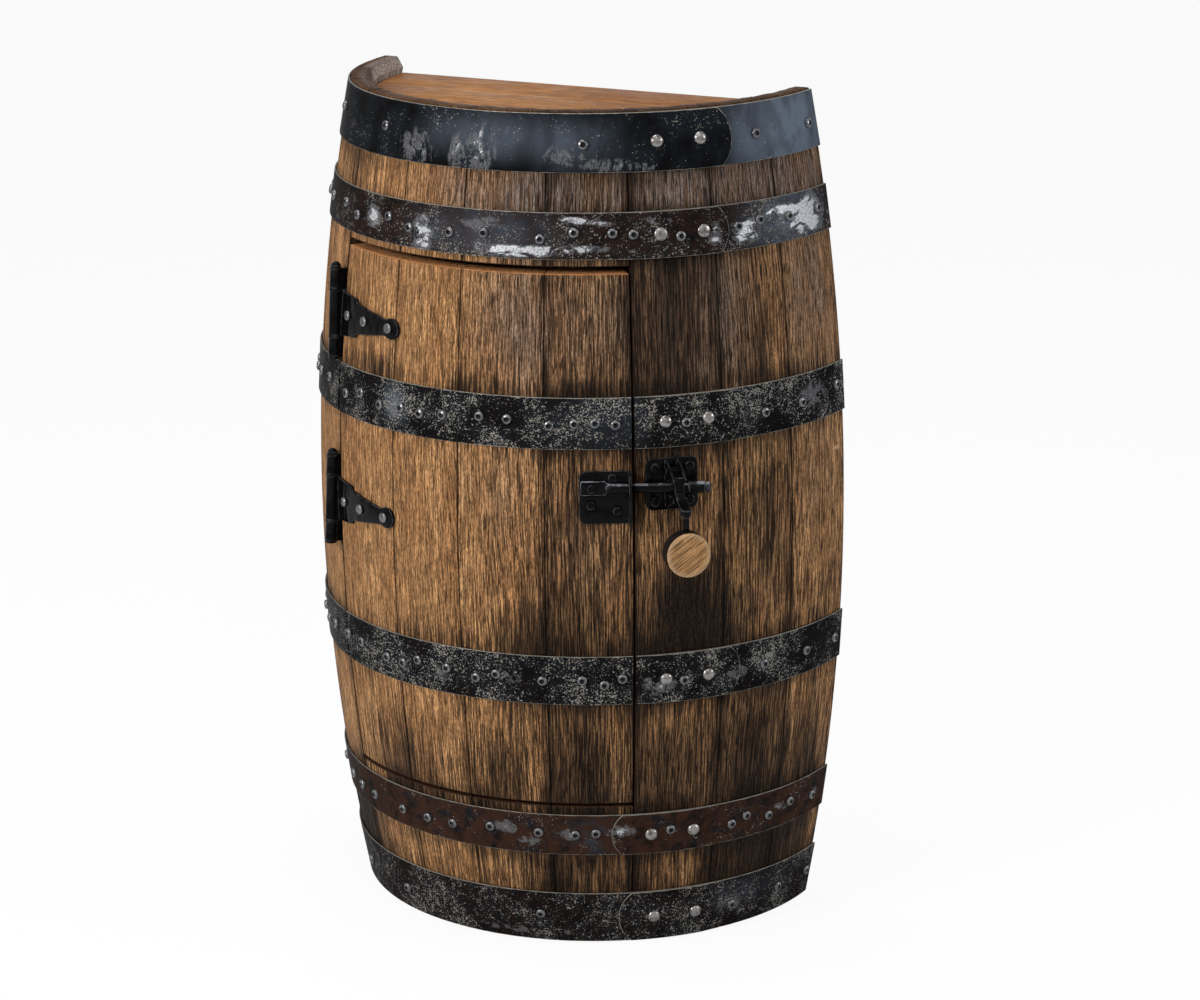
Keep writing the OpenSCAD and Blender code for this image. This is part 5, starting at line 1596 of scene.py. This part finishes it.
@dataclass
class Studio:
    """Pale floor, soft lamps and the camera of the photograph."""

    side: float = math.radians(27.86677)
    distance: float = 3.817276
    eye_z: float = 1.504894
    look_z: float = 0.414620
    look_x: float = 0.005691
    roll: float = math.radians(-0.53285)
    focal_px: float = 3619.961
    frame_px: float = 1200.0
    sensor_mm: float = 36.0
    far: float = 200.0
    aim: Colour = (0, -0.1, 0.45)
    # Name, place, side in metres, watts and colour
    lamps: tuple[tuple[str, Colour, float, float, Colour], ...] = (
        ("key_left", (-1.33, -3.3, 2.1), 1.3, 84, (1, 1, 1)),
        ("rim_right", (3.0, 0.9, 1.5), 1.1, 34, (0.9, 0.95, 1.0)),
        ("top_soft", (-0.4, -0.3, 3.2), 1.5, 36, (1, 1, 1)),
        ("spark_left", (-0.9, -2.8, 1.9), 0.18, 8, (1, 1, 1)),
        ("spark_right", (1.6, -2.05, 3.0), 0.2, 10, (1, 1, 1)))
    sky: Colour = (0.95, 0.97, 1.0)
    sky_power: float = 0.34
    floor_grey: Colour = (0.9, 0.9, 0.9)
    floor_rough: float = 0.9
    floor_reach: float = 40.0
    floor_melt: float = 0.92

    def camera(self) -> None:
        """Places the camera at the photograph's angle."""
        eye = Vector((self.distance * math.sin(self.side), -self.distance * math.cos(self.side), self.eye_z))
        right = Vector((math.cos(self.side), math.sin(self.side), 0))
        forward = (Vector((0, 0, self.look_z)) + right * self.look_x - eye).normalized()
        across = forward.cross(Vector((0, 0, 1))).normalized()
        upward = across.cross(forward)
        c, s = math.cos(self.roll), math.sin(self.roll)
        across, upward = c * across + s * upward, -s * across + c * upward
        data = bpy.data.cameras.new("camera")
        data.sensor_width = self.sensor_mm
        data.lens = self.sensor_mm * self.focal_px / self.frame_px
        data.clip_end = self.far
        camera = linked("camera", data)
        matrix = Matrix((across, upward, -forward)).transposed().to_4x4()
        matrix.translation = eye
        camera.matrix_world = matrix
        bpy.context.scene.camera = camera

    def lamp(self, name: str, at: Colour, size: float, power: float, colour: Colour) -> None:
        """One soft lamp that looks at the barrel's middle.

        Args:
            name: Name of the lamp.
            at: Where it stands.
            size: Side of the square lamp.
            power: Power in watts.
            colour: Colour of its light.
        """
        data = bpy.data.lights.new(name, "AREA")
        data.shape, data.size, data.energy, data.color = "SQUARE", size, power, colour
        lamp = linked(name, data)
        lamp.location = at
        lamp.rotation_euler = (Vector(self.aim) - Vector(at)).to_track_quat("-Z", "Y").to_euler()

    def world(self) -> None:
        """Plain light from all sides, seen as white by the camera and by gloss."""
        world = bpy.data.worlds.new("studio")
        bpy.context.scene.world = world
        world.use_nodes = True
        sheet = NodeSheet(world.node_tree)
        world.node_tree.nodes.clear()
        camera, through, gloss = sheet.outs(sheet.add("ShaderNodeLightPath"), "Is Camera Ray", "Is Transmission Ray",
                                            "Is Glossy Ray")
        seen = sheet.math("MAXIMUM", sheet.math("MAXIMUM", camera, through), gloss)
        dim = sheet.feeds(sheet.add("ShaderNodeBackground"), Color=self.sky, Strength=self.sky_power)
        sheet.blend(seen, (dim, sheet.add("ShaderNodeBackground")), sheet.add("ShaderNodeOutputWorld"))

    def floor(self) -> None:
        """A pale floor that keeps the object's soft shadow and melts into the white background."""
        shell = Shell.empty()
        corners = np.array([(-1, -1, 0), (1, -1, 0), (1, 1, 0), (-1, 1, 0)], float)
        shell.add(corners * self.floor_reach, [(0, 1, 2, 3)])
        floor = shell.build("floor")
        material, sheet, shader = start_material("pale_floor")
        sheet.feeds(shader, Base_Color=self.floor_grey, Roughness=self.floor_rough)
        camera = sheet.outs(sheet.add("ShaderNodeLightPath"), "Is Camera Ray")[0]
        sheet.blend(camera * self.floor_melt, (shader, sheet.add("ShaderNodeEmission")),
                    material.node_tree.nodes["Material Output"])
        floor.data.materials.append(material)

    def build(self) -> None:
        """Sets camera, lamps, world, floor and the plain view transform."""
        self.camera()
        for lamp in self.lamps:
            self.lamp(*lamp)
        self.world()
        self.floor()
        bpy.context.scene.view_settings.view_transform = "Standard"
        LOG.info("studio set")


def main() -> None:
    """Builds and dresses the cabinet, piece by piece."""
    logging.basicConfig(level=logging.INFO, format="%(name)s: %(message)s")
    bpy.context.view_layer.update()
    effects = Effects()
    shape = BarrelShape()
    hoops = HoopSet(shape)
    Studio().build()

    iron = PlainMetal("black_iron", base=(0.0022, 0.0022, 0.0026), worn=(0.01, 0.01, 0.011), rim=(0.1, 0.1, 0.105),
                      metallic=0.0, rough=0.1, gloss=0.06, haze=0.06)
    black = iron.make(effects)
    # Iron of the striker bar: lighter edges, and a painted highlight along its upper side
    bare = replace(iron, name="iron_with_painted_highlight", rim=(0.24, 0.25, 0.27), rubbed_and_highlight=0.9).make(effects)
    zinc = PlainMetal("zinc_steel", base=(0.15, 0.15, 0.155), worn=(0.04, 0.036, 0.033), rim=(0.34, 0.34, 0.34),
                      metallic=0.85, rough=0.24, wear=0.7).make(effects)
    steel = PlainMetal("rivet_steel", base=(0.25, 0.24, 0.23), worn=(0.07, 0.04, 0.03), rim=(0.3, 0.3, 0.3),
                       metallic=0.9, rough=0.22, wear=0.8).make(effects)
    board = PlankOak("board_oak", pale=(0.43, 0.19, 0.056), warm=(0.31, 0.125, 0.036), deep=(0.065, 0.026, 0.01),
                     along=0, width=3 * MM).make(effects)
    ply = PlankOak("plywood", pale=(0.52, 0.36, 0.2), warm=(0.45, 0.29, 0.15), deep=(0.3, 0.18, 0.09), along=2,
                   width=4 * MM, shine=0.55).make(effects)
    shelf = PlankOak("shelf_wood", pale=(0.5, 0.33, 0.18), warm=(0.42, 0.26, 0.135), deep=(0.26, 0.15, 0.075),
                     along=0, width=4 * MM, shine=0.5).make(effects)
    knob = PlankOak("knob_wood", pale=(0.52, 0.29, 0.125), warm=(0.36, 0.185, 0.074), deep=(0.035, 0.018, 0.01),
                    along=2, width=1.9 * MM, face=math.radians(43), turn=math.radians(-56), shine=0.45).make(effects)

    StaveSet(shape).build(StaveOak().make(effects))
    hoops.build({look: HoopSteel(look).make(effects) for look in HoopLook})
    fasteners = FastenerSet(shape, hoops)
    fasteners.build_hoop_screws(zinc)
    fasteners.build_rivets(steel)
    HingeSet(shape).build(black, zinc)
    Knob(shape).build(knob)
    LatchSet().build(black, bare)
    for node in ("top_plank_rear", "top_plank_middle", "top_plank_front", "bottom_head",
                 "upper_cleat_left", "upper_cleat_right", "lower_cleat_left", "lower_cleat_right"):
        EasedPart(node, "board_oak", 0.7 * MM).build(board)
    for node, wood in (("back_panel", ply), ("upper_shelf", shelf), ("lower_shelf", shelf)):
        EasedPart(node, "plywood", 0.5 * MM).build(wood)


if __name__ == "__main__":
    main()
